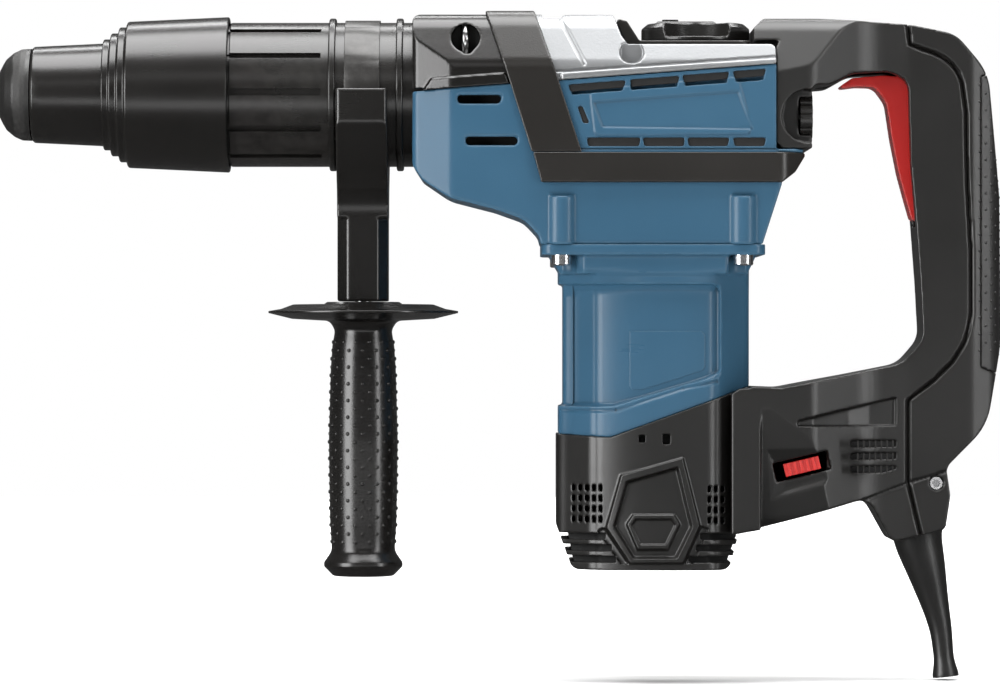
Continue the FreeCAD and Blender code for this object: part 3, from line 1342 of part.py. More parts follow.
everything = {
    "dust_cap": make_dust_cap,
    "nose_sleeve": make_nose_sleeve,
    "locking_sleeve": make_locking_sleeve,
    "lock_ring": make_lock_ring,
    "pawl_upper": lambda: make_pawl(1),
    "pawl_lower": lambda: make_pawl(-1),
    "spindle": make_spindle,
    "lock_spring": make_lock_spring,
    "bolt_retainer": make_bolt_retainer,
    "impact_bolt": make_impact_bolt,
    "striker": make_striker,
    "piston": make_piston,
    "wrist_pin": make_wrist_pin,
    "connecting_rod": make_connecting_rod,
    "crank_gear": make_crank,
    "lay_shaft": make_lay_shaft,
    "ring_gear": make_ring_gear,
    "clutch_ring": make_clutch_ring,
    "clutch_spring": make_clutch_spring,
    "neck_sleeve": make_neck_sleeve,
    "neck_tube": make_neck_tube,
    "front_hood": make_hood,
    "gearbox_casting": make_casting,
    "side_panel_left": lambda: make_side_panel(-1),
    "side_panel_right": lambda: make_side_panel(1),
    "gear_case": make_gear_case,
    "saddle_band": make_band,
    "bumper_belt": make_belt,
    "gear_plate": make_gear_plate,
    "shaft_bearings": make_shaft_bearings,
    "spindle_bearings": make_spindle_bearings,
    "motor_housing": make_motor_housing,
    "motor_end_cap": make_end_cap,
    "housing_screws": make_housing_screws,
    "armature_shaft": make_armature_shaft,
    "armature_core": make_armature_core,
    "armature_windings": make_windings,
    "commutator": make_commutator,
    "cooling_fan": make_fan,
    "stator_core": make_stator,
    "field_coils": make_field_coils,
    "brush_holders": make_brush_holders,
    "carbon_brushes": make_brushes,
    "selector_cover": make_selector_cover,
    "mode_knob": make_mode_knob,
    "mode_button": make_mode_button,
    "handle_front_shell": make_handle_front,
    "handle_rear_shell": make_handle_rear,
    "soft_grip": make_soft_grip,
    "trigger": make_trigger,
    "lock_slide": make_lock_slide,
    "speed_wheel": make_speed_wheel,
    "speed_controller": make_electronics,
    "switch_module": make_switch,
    "cable_boot": make_cable_boot,
    "handle_strap": make_strap,
    "handle_cradle": make_cradle,
    "clamp_bolt": make_clamp_bolt,
    "side_grip": make_side_grip,
    "grip_nut": make_grip_nut,
}
for name, make in everything.items():
    save(name, make())
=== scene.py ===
import json
import math
import bmesh
import bpy
from mathutils import Matrix, Vector
from mathutils.bvhtree import BVHTree


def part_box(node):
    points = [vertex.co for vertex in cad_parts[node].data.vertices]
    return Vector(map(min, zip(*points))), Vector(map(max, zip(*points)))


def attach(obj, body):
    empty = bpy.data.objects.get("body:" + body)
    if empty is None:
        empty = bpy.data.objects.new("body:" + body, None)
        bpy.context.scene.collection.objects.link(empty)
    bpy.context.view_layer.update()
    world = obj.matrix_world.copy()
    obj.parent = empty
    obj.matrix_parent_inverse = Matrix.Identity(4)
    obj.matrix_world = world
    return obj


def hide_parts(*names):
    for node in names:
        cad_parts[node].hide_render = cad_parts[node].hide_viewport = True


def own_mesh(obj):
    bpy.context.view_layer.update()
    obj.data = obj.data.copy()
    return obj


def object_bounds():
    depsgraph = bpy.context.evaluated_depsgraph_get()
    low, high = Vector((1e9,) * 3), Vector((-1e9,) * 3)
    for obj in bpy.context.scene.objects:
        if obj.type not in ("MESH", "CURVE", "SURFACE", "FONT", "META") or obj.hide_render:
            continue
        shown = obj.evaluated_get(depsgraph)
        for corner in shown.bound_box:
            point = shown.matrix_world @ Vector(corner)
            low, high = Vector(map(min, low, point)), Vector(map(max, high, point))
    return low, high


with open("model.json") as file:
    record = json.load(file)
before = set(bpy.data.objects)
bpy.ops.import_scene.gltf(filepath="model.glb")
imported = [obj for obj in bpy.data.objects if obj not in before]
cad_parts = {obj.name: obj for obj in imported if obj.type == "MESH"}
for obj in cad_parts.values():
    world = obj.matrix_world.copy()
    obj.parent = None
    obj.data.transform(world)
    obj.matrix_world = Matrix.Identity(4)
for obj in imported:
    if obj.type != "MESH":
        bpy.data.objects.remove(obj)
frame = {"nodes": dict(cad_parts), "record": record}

cadLow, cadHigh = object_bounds()
mm = 0.001
scene = bpy.context.scene
nodes = frame["nodes"]
behaviour = frame["record"]["behaviour"]
bodyOf = {name: body for body, members in behaviour["bodies"].items() for name in members}
coarse = 1.0

# camera, backdrop and lights
studio = {
    "lens": 200.0,
    "frameWidth": 485.0,          # what the picture spans, in mm
    "aim": (242.5, 0.0, -120.3),
    "floorDrop": 1.0,
    "backdropGrey": 0.88,
    "floorX": (-7.0, 7.5),        # metres
    "floorY": (-6.0, 3.2),
    "worldLight": 0.10,
}


def makeCamera(s):
    data = bpy.data.cameras.new("camera")
    data.lens = s["lens"]
    data.sensor_width = 36.0
    distance = s["frameWidth"] * s["lens"] / data.sensor_width
    data.clip_start, data.clip_end = 0.1, 50.0
    cam = bpy.data.objects.new("camera", data)
    cam.location = Vector((s["aim"][0], -distance, s["aim"][2])) * mm
    cam.rotation_euler = (math.radians(90), 0, 0)
    scene.collection.objects.link(cam)
    scene.camera = cam


def makeBackdrop(s):
    # a pale floor; beyond it the camera sees the plain white room
    floorZ = cadLow.z - s["floorDrop"] * mm
    (x0, x1), (y0, y1) = s["floorX"], s["floorY"]
    corners = [(x0, y0, floorZ), (x1, y0, floorZ), (x1, y1, floorZ), (x0, y1, floorZ)]
    mesh = bpy.data.meshes.new("backdrop")
    mesh.from_pydata(corners, [], [(0, 1, 2, 3)])
    floor = bpy.data.objects.new("backdrop", mesh)
    scene.collection.objects.link(floor)
    mat = bpy.data.materials.new("paleBackdrop")
    mat.use_nodes = True
    bsdf = mat.node_tree.nodes["Principled BSDF"]
    bsdf.inputs["Base Color"].default_value = (s["backdropGrey"],) * 3 + (1,)
    bsdf.inputs["Roughness"].default_value = 0.9
    mesh.materials.append(mat)
    # black plastic reflects the softboxes, not the lit floor
    floor.visible_glossy = False


def makeLight(name, place, target, size, power, tint=(1, 1, 1)):
    data = bpy.data.lights.new(name, "AREA")
    data.shape = "RECTANGLE"
    data.size, data.size_y = size
    data.energy = power
    data.color = tint
    lamp = bpy.data.objects.new(name, data)
    lamp.location = place
    lamp.rotation_euler = (Vector(target) - Vector(place)).to_track_quat("-Z", "Y").to_euler()
    scene.collection.objects.link(lamp)


makeCamera(studio)
makeBackdrop(studio)
centre = (0.24, 0.0, -0.1)
makeLight("topSoftbox", (0.24, -0.14, 1.35), centre, (1.9, 1.1), 64)
makeLight("leftStrip", (-1.25, -1.15, 0.1), centre, (0.95, 1.6), 50)
makeLight("rightStrip", (1.65, -1.05, 0.15), centre, (0.30, 1.4), 13)
makeLight("floorBounce", (0.24, -1.0, -0.285), (0.24, -0.9, 1.0), (1.6, 0.5), 6.5)
makeLight("frontFill", (0.3, -2.6, 1.3), centre, (1.6, 0.5), 3)
makeLight("backLift", (0.24, 1.9, 2.2), (0.24, 3.5, -0.2), (3.5, 1.6), 190)
world = bpy.data.worlds.new("softRoom")
world.use_nodes = True
sky = world.node_tree
sky.nodes["Background"].inputs["Color"].default_value = (1, 1, 1, 1)
seen = sky.nodes.new("ShaderNodeLightPath")
level = sky.nodes.new("ShaderNodeMapRange")
level.inputs["To Min"].default_value = studio["worldLight"]
level.inputs["To Max"].default_value = 1.0
sky.links.new(seen.outputs["Is Camera Ray"], level.inputs["Value"])
sky.links.new(level.outputs["Result"], sky.nodes["Background"].inputs["Strength"])
scene.world = world
scene.view_settings.view_transform = "Standard"
print("studio ready")


# shader effects shared by the materials
def newGroup(name, inputs, outputs):
    tree = bpy.data.node_groups.new(name, "ShaderNodeTree")
    for label, value in inputs.items():
        socket = tree.interface.new_socket(name=label, in_out="INPUT", socket_type="NodeSocketFloat")
        socket.default_value = value
    for label in outputs:
        tree.interface.new_socket(name=label, in_out="OUTPUT", socket_type="NodeSocketFloat")
    return tree, tree.nodes.new("NodeGroupInput"), tree.nodes.new("NodeGroupOutput")


def node(tree, kind, **settings):
    made = tree.nodes.new(kind)
    for key, value in settings.items():
        setattr(made, key, value)
    return made


def feed(tree, socket, value):
    # a number or colour sits on the socket, anything else is a link
    if isinstance(value, (int, float)):
        socket.default_value = value
    elif isinstance(value, tuple):
        socket.default_value = value + (1.0,) * (len(socket.default_value) - len(value))
    else:
        tree.links.new(value, socket)


def math2(tree, operation, a, b, clamp=False):
    made = node(tree, "ShaderNodeMath", operation=operation, use_clamp=clamp)
    feed(tree, made.inputs[0], a)
    feed(tree, made.inputs[1], b)
    return made.outputs[0]


def noise(tree, point, scale, detail=3.0, rough=0.55):
    made = node(tree, "ShaderNodeTexNoise")
    for label, value in (("Vector", point), ("Scale", scale), ("Detail", detail), ("Roughness", rough)):
        feed(tree, made.inputs[label], value)
    return made.outputs["Fac"]


def remap(tree, value, low, high, toLow=0.0, toHigh=1.0):
    made = node(tree, "ShaderNodeMapRange")
    feed(tree, made.inputs["Value"], value)
    for label, number in (("From Min", low), ("From Max", high), ("To Min", toLow), ("To Max", toHigh)):
        feed(tree, made.inputs[label], number)
    return made.outputs["Result"]


def objectPoint(tree):
    return node(tree, "ShaderNodeTexCoord").outputs["Object"]


def buildGrainGroup():
    # spark-eroded mould texture: fine cells, stronger in some places than in others
    tree, into, out = newGroup("mouldGrain", {"Cell Size": 1600.0, "Unevenness": 0.5}, ["Height"])
    point = objectPoint(tree)
    fine = noise(tree, point, into.outputs["Cell Size"], 2.0, 0.6)
    wide = noise(tree, point, 38.0, 3.0, 0.5)
    strength = math2(tree, "ADD", math2(tree, "MULTIPLY", wide, into.outputs["Unevenness"]), 0.75)
    feed(tree, out.inputs["Height"], math2(tree, "MULTIPLY", fine, strength))
    return tree


def buildWearGroup():
    # rubbed edges: the sharp convex places, broken up by noise; a second output rises in the concave places
    tree, into, out = newGroup("edgeWear", {"Start": 0.515, "Amount": 0.6}, ["Mask", "Crease"])
    pointiness = node(tree, "ShaderNodeNewGeometry").outputs["Pointiness"]
    edge = remap(tree, math2(tree, "SUBTRACT", pointiness, into.outputs["Start"]), 0.0, 0.03)
    broken = remap(tree, noise(tree, objectPoint(tree), 150.0, 5.0, 0.7), 0.36, 0.66)
    worn = math2(tree, "MULTIPLY", math2(tree, "MULTIPLY", edge, broken), into.outputs["Amount"], clamp=True)
    feed(tree, out.inputs["Mask"], worn)
    feed(tree, out.inputs["Crease"], remap(tree, pointiness, 0.49, 0.45))
    return tree


def buildHandlingGroup():
    # slow drift in tone and gloss from hands, dust and moulding flow
    tree, into, out = newGroup("handling", {"Patch Size": 9.0, "Streaks": 0.3}, ["Tone", "Gloss"])
    point = objectPoint(tree)
    patches = noise(tree, point, into.outputs["Patch Size"], 4.0, 0.55)
    stretch = node(tree, "ShaderNodeMapping")
    stretch.inputs["Scale"].default_value = (18.0, 60.0, 240.0)
    feed(tree, stretch.inputs["Vector"], point)
    lines = noise(tree, stretch.outputs["Vector"], 1.0, 4.0, 0.6)
    gloss = math2(tree, "ADD", patches, math2(tree, "MULTIPLY", lines, into.outputs["Streaks"]))
    feed(tree, out.inputs["Tone"], remap(tree, patches, 0.3, 0.7))
    feed(tree, out.inputs["Gloss"], remap(tree, gloss, 0.4, 0.9))
    return tree


groups = {"grain": buildGrainGroup(), "wear": buildWearGroup(), "handling": buildHandlingGroup()}


def useGroup(tree, key, **values):
    made = node(tree, "ShaderNodeGroup")
    made.node_tree = groups[key]
    for label, value in values.items():
        made.inputs[label.replace("_", " ")].default_value = value
    return made


def mixColor(tree, fac, a, b):
    made = node(tree, "ShaderNodeMix", data_type="RGBA")
    for slot, value in ((0, fac), (6, a), (7, b)):
        feed(tree, made.inputs[slot], value)
    return made.outputs[2]


# what the finishes share
shading = {
    "creaseShare": 0.35,
    "creaseColor": (0.012, 0.011, 0.010),
    "grainDepth": 0.0004,
    "coatRough": 0.25,
    "ringBlend": 0.0006,
    "ringRough": 0.2,
}
finishes = {
    "blackPlastic": {
        "base": (0.0042, 0.0038, 0.0034), "tint": (0.0064, 0.0059, 0.0053), "worn": (0.030, 0.028, 0.026),
        "rough": (0.21, 0.29), "grain": 1500.0, "bump": 0.08, "wear": 0.30,
    },
    "satinPlastic": {
        "base": (0.0044, 0.0040, 0.0035), "tint": (0.0066, 0.0061, 0.0055), "worn": (0.030, 0.028, 0.026),
        "rough": (0.33, 0.43), "grain": 1500.0, "bump": 0.08, "wear": 0.30, "shine": 0.55,
    },
    "capRubber": {
        "base": (0.0052, 0.0050, 0.0047), "tint": (0.0085, 0.0081, 0.0077), "worn": (0.025, 0.024, 0.022),
        "rough": (0.34, 0.44), "grain": 900.0, "bump": 0.22, "wear": 0.3,
        "ring": (0.0076, 0.0138), "ringColor": (0.018, 0.017, 0.016),
    },
    "graphitePlastic": {
        "base": (0.0090, 0.0080, 0.0070), "tint": (0.0125, 0.0112, 0.0098), "worn": (0.045, 0.042, 0.038),
        "rough": (0.26, 0.35), "grain": 1400.0, "bump": 0.12, "wear": 0.4,
    },
    "bluePlastic": {
        "base": (0.022, 0.066, 0.112), "tint": (0.027, 0.077, 0.128), "worn": (0.075, 0.15, 0.21),
        "rough": (0.27, 0.36), "grain": 1500.0, "bump": 0.10, "wear": 0.35, "shine": 0.28,
    },
    "silverCasting": {
        "base": (0.21, 0.215, 0.22), "tint": (0.25, 0.256, 0.262), "worn": (0.40, 0.40, 0.40),
        "rough": (0.30, 0.42), "grain": 900.0, "bump": 0.12, "wear": 0.5, "metallic": 0.65,
    },
    "redPlastic": {
        "base": (0.36, 0.0075, 0.006), "tint": (0.43, 0.011, 0.009), "worn": (0.55, 0.08, 0.06),
        "rough": (0.26, 0.36), "grain": 1700.0, "bump": 0.06, "wear": 0.25, "coat": 0.2,
    },
    "softRubber": {
        "base": (0.0052, 0.0050, 0.0047), "tint": (0.0085, 0.0081, 0.0077), "worn": (0.025, 0.024, 0.022),
        "rough": (0.36, 0.48), "grain": 1100.0, "bump": 0.16, "wear": 0.3, "shine": 0.6,
    },
    "darkSteel": {
        "base": (0.020, 0.019, 0.018), "tint": (0.026, 0.025, 0.024), "worn": (0.08, 0.078, 0.075),
        "rough": (0.24, 0.32), "grain": 700.0, "bump": 0.05, "wear": 0.3, "metallic": 0.35,
    },
    "brightSteel": {
        "base": (0.56, 0.56, 0.57), "tint": (0.70, 0.70, 0.71), "worn": (0.90, 0.90, 0.90),
        "rough": (0.16, 0.30), "grain": 800.0, "bump": 0.06, "wear": 0.5, "metallic": 1.0,
    },
    "gearSteel": {
        "base": (0.26, 0.26, 0.27), "tint": (0.36, 0.36, 0.37), "worn": (0.65, 0.65, 0.66),
        "rough": (0.22, 0.36), "grain": 800.0, "bump": 0.06, "wear": 0.6, "metallic": 1.0,
    },
    "copperWire": {
        "base": (0.52, 0.22, 0.10), "tint": (0.66, 0.31, 0.15), "worn": (0.85, 0.55, 0.36),
        "rough": (0.25, 0.38), "grain": 600.0, "bump": 0.20, "wear": 0.4, "metallic": 0.9, "coat": 0.3,
    },
    "brassSheet": {
        "base": (0.60, 0.44, 0.16), "tint": (0.72, 0.55, 0.22), "worn": (0.88, 0.76, 0.45),
        "rough": (0.24, 0.36), "grain": 700.0, "bump": 0.08, "wear": 0.5, "metallic": 1.0,
    },
    "paleNylon": {
        "base": (0.44, 0.43, 0.39), "tint": (0.54, 0.53, 0.49), "worn": (0.70, 0.70, 0.66),
        "rough": (0.42, 0.55), "grain": 1300.0, "bump": 0.10, "wear": 0.3,
    },
    # painted shade: near-black and matte, for the sheets set where only shade falls inside vents and openings
    "paintedShade": {
        "base": (0.004, 0.004, 0.004), "tint": (0.007, 0.007, 0.007), "worn": (0.02, 0.02, 0.02),
        "rough": (0.70, 0.85), "grain": 500.0, "bump": 0.40, "wear": 0.1,
    },
}


def makeFinish(name, look):
    mat = bpy.data.materials.new(name)
    mat.use_nodes = True
    tree = mat.node_tree
    bsdf = tree.nodes["Principled BSDF"]
    handling = useGroup(tree, "handling")
    wear = useGroup(tree, "wear", Amount=look["wear"])
    grain = useGroup(tree, "grain", Cell_Size=look["grain"])
    body = mixColor(tree, handling.outputs["Tone"], look["base"], look["tint"])
    # the concave places mix a share of the way towards a dark grey
    crease = math2(tree, "MULTIPLY", wear.outputs["Crease"], shading["creaseShare"])
    creased = mixColor(tree, crease, body, shading["creaseColor"])
    color = mixColor(tree, wear.outputs["Mask"], creased, look["worn"])
    rough = remap(tree, handling.outputs["Gloss"], 0.0, 1.0, look["rough"][0], look["rough"][1])
    if "ring" in look:
        # a rougher, paler ring around the cap
        split = node(tree, "ShaderNodeSeparateXYZ")
        feed(tree, split.inputs[0], objectPoint(tree))
        (start, end), blend = look["ring"], shading["ringBlend"]
        rising = remap(tree, split.outputs["X"], start, start + blend)
        falling = remap(tree, split.outputs["X"], end, end - blend)
        inside = math2(tree, "MULTIPLY", rising, falling)
        flecks = remap(tree, noise(tree, objectPoint(tree), 700.0, 4.0, 0.7), 0.35, 0.65)
        color = mixColor(tree, math2(tree, "MULTIPLY", inside, flecks), color, look["ringColor"])
        rough = math2(tree, "ADD", rough, math2(tree, "MULTIPLY", inside, shading["ringRough"]))
    feed(tree, bsdf.inputs["Base Color"], color)
    feed(tree, bsdf.inputs["Roughness"], rough)
    bump = node(tree, "ShaderNodeBump")
    bump.inputs["Strength"].default_value = look["bump"]
    bump.inputs["Distance"].default_value = shading["grainDepth"]
    feed(tree, bump.inputs["Height"], grain.outputs["Height"])
    feed(tree, bsdf.inputs["Normal"], bump.outputs["Normal"])
    bsdf.inputs["Metallic"].default_value = look.get("metallic", 0.0)
    bsdf.inputs["Specular IOR Level"].default_value = look.get("shine", 0.5)
    bsdf.inputs["Coat Weight"].default_value = look.get("coat", 0.0)
    bsdf.inputs["Coat Roughness"].default_value = shading["coatRough"]
    return mat


finish = {name: makeFinish(name, look) for name, look in finishes.items()}
print("finishes ready")

# finish of each CAD node
nodeFinish = {
    "blackPlastic": [
        "nose_sleeve", "locking_sleeve", "neck_sleeve", "neck_tube", "front_hood", "handle_cradle",
        "mode_knob", "speed_wheel", "carbon_brushes", "speed_controller", "side_grip", "mode_button",
    ],
    "satinPlastic": ["motor_end_cap", "handle_front_shell", "handle_rear_shell"],
    "graphitePlastic": ["saddle_band", "bumper_belt", "selector_cover"],
    "bluePlastic": ["side_panel_left", "side_panel_right", "gear_case", "motor_housing"],
    "silverCasting": ["gearbox_casting", "gear_plate", "connecting_rod"],
    "redPlastic": ["trigger", "lock_slide"],
    "softRubber": ["soft_grip", "cable_boot"],
    "capRubber": ["dust_cap"],
    "darkSteel": ["handle_strap"],
    "brightSteel": [
        "housing_screws", "shaft_bearings", "spindle_bearings", "piston", "wrist_pin", "clamp_bolt",
        "grip_nut",
    ],
    "gearSteel": [
        "spindle", "lock_ring", "pawl_upper", "pawl_lower", "lock_spring", "bolt_retainer",
        "impact_bolt", "striker", "crank_gear", "lay_shaft", "ring_gear", "clutch_ring",
        "clutch_spring", "armature_shaft", "armature_core", "stator_core",
    ],
    "copperWire": ["armature_windings", "commutator", "field_coils"],
    "brassSheet": ["brush_holders"],
    "paleNylon": ["cooling_fan", "switch_module"],
}
lookOf = {name: look for look, names in nodeFinish.items() for name in names}


def dress(thing, look):
    thing.data.materials.clear()
    thing.data.materials.append(finish[look])


for name, thing in nodes.items():
    dress(thing, lookOf[name])


# making and changing meshes; all sizes are in mm until they reach a vertex
def toObject(name, bm):
    bmesh.ops.recalc_face_normals(bm, faces=bm.faces)
    mesh = bpy.data.meshes.new(name)
    bm.to_mesh(mesh)
    bm.free()
    thing = bpy.data.objects.new(name, mesh)
    scene.collection.objects.link(thing)
    return thing


def joinEnds(bm, ends):
    # caps two matching loops and joins them with side faces
    bm.faces.new(ends[0])
    bm.faces.new(reversed(ends[1]))
    count = len(ends[0])
    for i in range(count):
        k = (i + 1) % count
        bm.faces.new((ends[0][i], ends[1][i], ends[1][k], ends[0][k]))


def addPrism(bm, outline, axis, low, high):
    # outlines are (x, z) along y, (x, y) along z and (y, z) along x
    spot = {
        "x": lambda a, b, c: Vector((c, a, b)) * mm,
        "y": lambda a, b, c: Vector((a, c, b)) * mm,
        "z": lambda a, b, c: Vector((a, b, c)) * mm,
    }[axis]
    joinEnds(bm, [[bm.verts.new(spot(a, b, c)) for a, b in outline] for c in (low, high)])


def addBox(bm, x0, x1, y0, y1, z0, z1):
    addPrism(bm, [(x0, y0), (x1, y0), (x1, y1), (x0, y1)], "z", z0, z1)


def taperObject(inner, outer, innerY, outerY, name="taper"):
    # a tapered prism along y; each end's y may follow the height z
    bm = bmesh.new()
    ends = []
    for y, line in ((innerY, inner), (outerY, outer)):
        ends.append([bm.verts.new(Vector((x, y(z), z)) * mm) for x, z in line])
    joinEnds(bm, ends)
    return toObject(name, bm)


def windingOf(outline):
    # 1 for an outline that runs anticlockwise, otherwise -1
    area = sum(a[0] * b[1] - b[0] * a[1] for a, b in zip(outline, outline[1:] + outline[:1]))
    return 1 if area > 0 else -1


def shrinkLine(outline, distance):
    # a closed convex outline moved inwards
    count, way = len(outline), windingOf(outline)
    edges = []
    for i in range(count):
        a, b = Vector(outline[i]), Vector(outline[(i + 1) % count])
        along = (b - a).normalized()
        edges.append((a + Vector((-along.y, along.x)) * distance * way, along))
    line = []
    for i in range(count):
        (p, u), (q, v) = edges[i - 1], edges[i]
        cross = u.x * v.y - u.y * v.x
        t = ((q.x - p.x) * v.y - (q.y - p.y) * v.x) / cross
        line.append((p.x + u.x * t, p.y + u.y * t))
    return line


def prismObject(outline, axis, low, high, name="cutter"):
    bm = bmesh.new()
    addPrism(bm, outline, axis, low, high)
    return toObject(name, bm)


def settle(thing):
    # the modifiers' result becomes the mesh
    bpy.context.view_layer.update()
    done = bpy.data.meshes.new_from_object(thing.evaluated_get(bpy.context.evaluated_depsgraph_get()))
    thing.modifiers.clear()
    thing.data = done


def carve(thing, tool, operation="DIFFERENCE", keepTool=False):
    step = thing.modifiers.new("carve", "BOOLEAN")
    step.operation = operation
    step.solver = "MANIFOLD"
    step.object = tool
    settle(thing)
    if not keepTool:
        bpy.data.objects.remove(tool)


def bmeshOf(thing):
    bm = bmesh.new()
    bm.from_mesh(thing.data)
    return bm


def copyOf(source, name):
    bm = bmesh.new()
    bm.from_mesh(nodes[source].data)
    bmesh.ops.remove_doubles(bm, verts=bm.verts, dist=2e-6)
    mesh = bpy.data.meshes.new(name)
    bm.to_mesh(mesh)
    bm.free()
    thing = bpy.data.objects.new(name, mesh)
    scene.collection.objects.link(thing)
    return thing


def smoothOver(thing):
    for p in thing.data.polygons:
        p.use_smooth = True


def mould(thing, cell, rounds):
    # a fine even mesh with every edge rounded a little, as a moulding has
    skin = thing.modifiers.new("skin", "REMESH")
    skin.mode = "VOXEL"
    skin.voxel_size = cell * coarse * mm
    soft = thing.modifiers.new("soft", "SMOOTH")
    soft.factor = 0.5
    soft.iterations = rounds
    settle(thing)
    smoothOver(thing)


def insideBy(outline, x, z):
    # how far a point lies inside a closed convex outline
    way, deep = windingOf(outline), math.inf
    for (x0, z0), (x1, z1) in zip(outline, outline[1:] + outline[:1]):
        size = math.hypot(x1 - x0, z1 - z0)
        deep = min(deep, way * ((x1 - x0) * (z - z0) - (z1 - z0) * (x - x0)) / size)
    return deep


def press(thing, outline, depth, slope, beyond=20):
    # sinks a field into both flanks, with a sloping border; a negative depth raises it
    for v in thing.data.vertices:
        if abs(v.co.y) > beyond * mm:
            deep = insideBy(outline, v.co.x / mm, v.co.z / mm)
            if deep > 0:
                v.co.y -= math.copysign(depth * min(deep / slope, 1) * mm, v.co.y)


def score(thing, line, half, depth, beyond=20):
    # a fine groove along a line on both flanks
    for (x0, z0), (x1, z1) in zip(line, line[1:]):
        size = math.hypot(x1 - x0, z1 - z0)
        ux, uz = (x1 - x0) / size, (z1 - z0) / size
        for v in thing.data.vertices:
            x, z = v.co.x / mm - x0, v.co.z / mm - z0
            off = abs(x * uz - z * ux)
            if off < half and -0.2 < x * ux + z * uz < size + 0.2 and abs(v.co.y) > beyond * mm:
                v.co.y -= math.copysign(depth * (1 - (off / half) ** 2) * mm, v.co.y)


motorBulge = {
    "frontX": 318, "frontReach": 30, "frontScale": 25, "frontSag": 4.5,
    "rearX": 324, "rearReach": 22, "rearSag": 2.6,
    "flankY": 12, "flankBlend": 20,
    "topZ": -84, "topBlend": 14,
}


def bulge(thing, b):
    # the motor's flanks curve in towards the front and rear corners
    for v in thing.data.vertices:
        x, y, z = v.co / mm
        if x < b["frontX"]:
            sag = b["frontSag"] * (min(b["frontX"] - x, b["frontReach"]) / b["frontScale"]) ** 2
        else:
            sag = b["rearSag"] * (min(max(x - b["rearX"], 0), b["rearReach"]) / b["rearReach"]) ** 2
        flankShare = min(max((abs(y) - b["flankY"]) / b["flankBlend"], 0), 1)
        share = flankShare * min(max((b["topZ"] - z) / b["topBlend"], 0), 1)
        v.co.y -= math.copysign(sag * share * share * (3 - 2 * share), y) * mm


def fitOut(thing, source, look=None):
    dress(thing, look or lookOf[source])
    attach(thing, bodyOf[source])
    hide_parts(source)


def addOn(thing, source, look):
    # a piece of its own, carried by the body of a CAD node
    dress(thing, look)
    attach(thing, bodyOf[source])


def offsetLine(points, distance):
    # both sides of an open line, as one closed outline
    sides = ([], [])
    for i, (x, z) in enumerate(points):
        a = Vector(points[max(i - 1, 0)])
        b = Vector(points[min(i + 1, len(points) - 1)])
        along = (b - a).normalized()
        sides[0].append((x - along.y * distance, z + along.x * distance))
        sides[1].append((x + along.y * distance, z - along.x * distance))
    return sides[0] + sides[1][::-1]


# rear handle: two shells with a joint groove, a pocket, vents and the slide's hollow
handle = {
    "seam": [(438.9, 45), (438.9, 33), (439.9, 23.3), (445.5, 21.2), (451.5, 19.2), (456.5, 16.8),
             (460.3, 13.7), (463.2, 9.8), (465.1, 4.7), (467.1, -9.7), (467.5, -40.7), (469.5, -77.6),
             (469.5, -106.2), (468.2, -114), (466.0, -120.3), (460.3, -129.5), (451.5, -138.2),
             (438.9, -147.9), (438.9, -186.7), (447.2, -221.6)],
    "seamHalf": 1.1,
    "grooveDepth": 1.5,
    "glandLine": [(416.0, -196.5), (430, -191.0), (442.3, -186.7), (462, -181.0)],
    "glandHalf": 0.7,
    "pocket": [(384.6, -157.4), (433.1, -146.4), (433.1, -160.2), (384.6, -160.2)],
    "pocketDepth": 2.6,
    "ventX": (410.8, 433.1),
    "ventCells": 8,
    "ventRib": 0.7,
    "ventRows": [(-170.3, -167.2), (-176.2, -173.1), (-182.5, -179.4)],
    "ventDepth": 2.9,
    "slideMouth": [(368.1, -168.6), (407.9, -167.8), (406.4, -186.2), (369.6, -196.4)],
    "slideFloor": [(376.9, -181.4), (395.8, -176.9), (397.4, -185.2), (379.3, -190.5)],
    "slideDepth": 2.0,
    "slideFlare": 0.6,
    "flankHalf": 43.2,            # half width of the lower arm
    "flankBend": -150,            # below this height it narrows
    "flankLean": 0.137,
    "halfPlan": [(340, 43), (372, 43), (385, 42.2), (392, 40.6), (400, 35.6), (410, 29.6), (420, 25.2),
                 (440, 21.1), (470, 19.5), (490, 17)],
    "section": [(-43.2, 60), (-43.2, -150), (-34, -217), (-34, -260), (34, -260), (34, -217),
                (43.2, -150), (43.2, 60)],
    "cheekPlan": [(352.9, 42.4), (353.6, 43.0), (367.0, 43.0), (367.0, 30.0), (362.6, 27.4), (352.9, 36.2)],
    "cheekSide": [(350, -146.5), (357.0, -142.2), (368, -141.6), (368, -209.4), (350, -212.6)],
}


def handleCore(d):
    # the handle's inside, a given depth under its flanks
    half = handle["halfPlan"]
    plan = [(x, -y + d) for x, y in half] + [(x, y - d) for x, y in reversed(half)]
    section = [(y + (d if y < 0 else -d), z) for y, z in handle["section"]]
    core = prismObject(plan, "z", -260, 60, "core")
    carve(core, prismObject(section, "x", 330, 500), "INTERSECT")
    return core


def sink(things, outline, depth, low=-60, high=60):
    # presses an outline into the handle's flanks
    tool = prismObject(outline, "y", low, high)
    carve(tool, handleCore(depth))
    for thing in things:
        carve(thing, tool, keepTool=True)
    bpy.data.objects.remove(tool)


def flank(z):
    # half width of the lower arm at a height
    return handle["flankHalf"] + min(z - handle["flankBend"], 0) * handle["flankLean"]


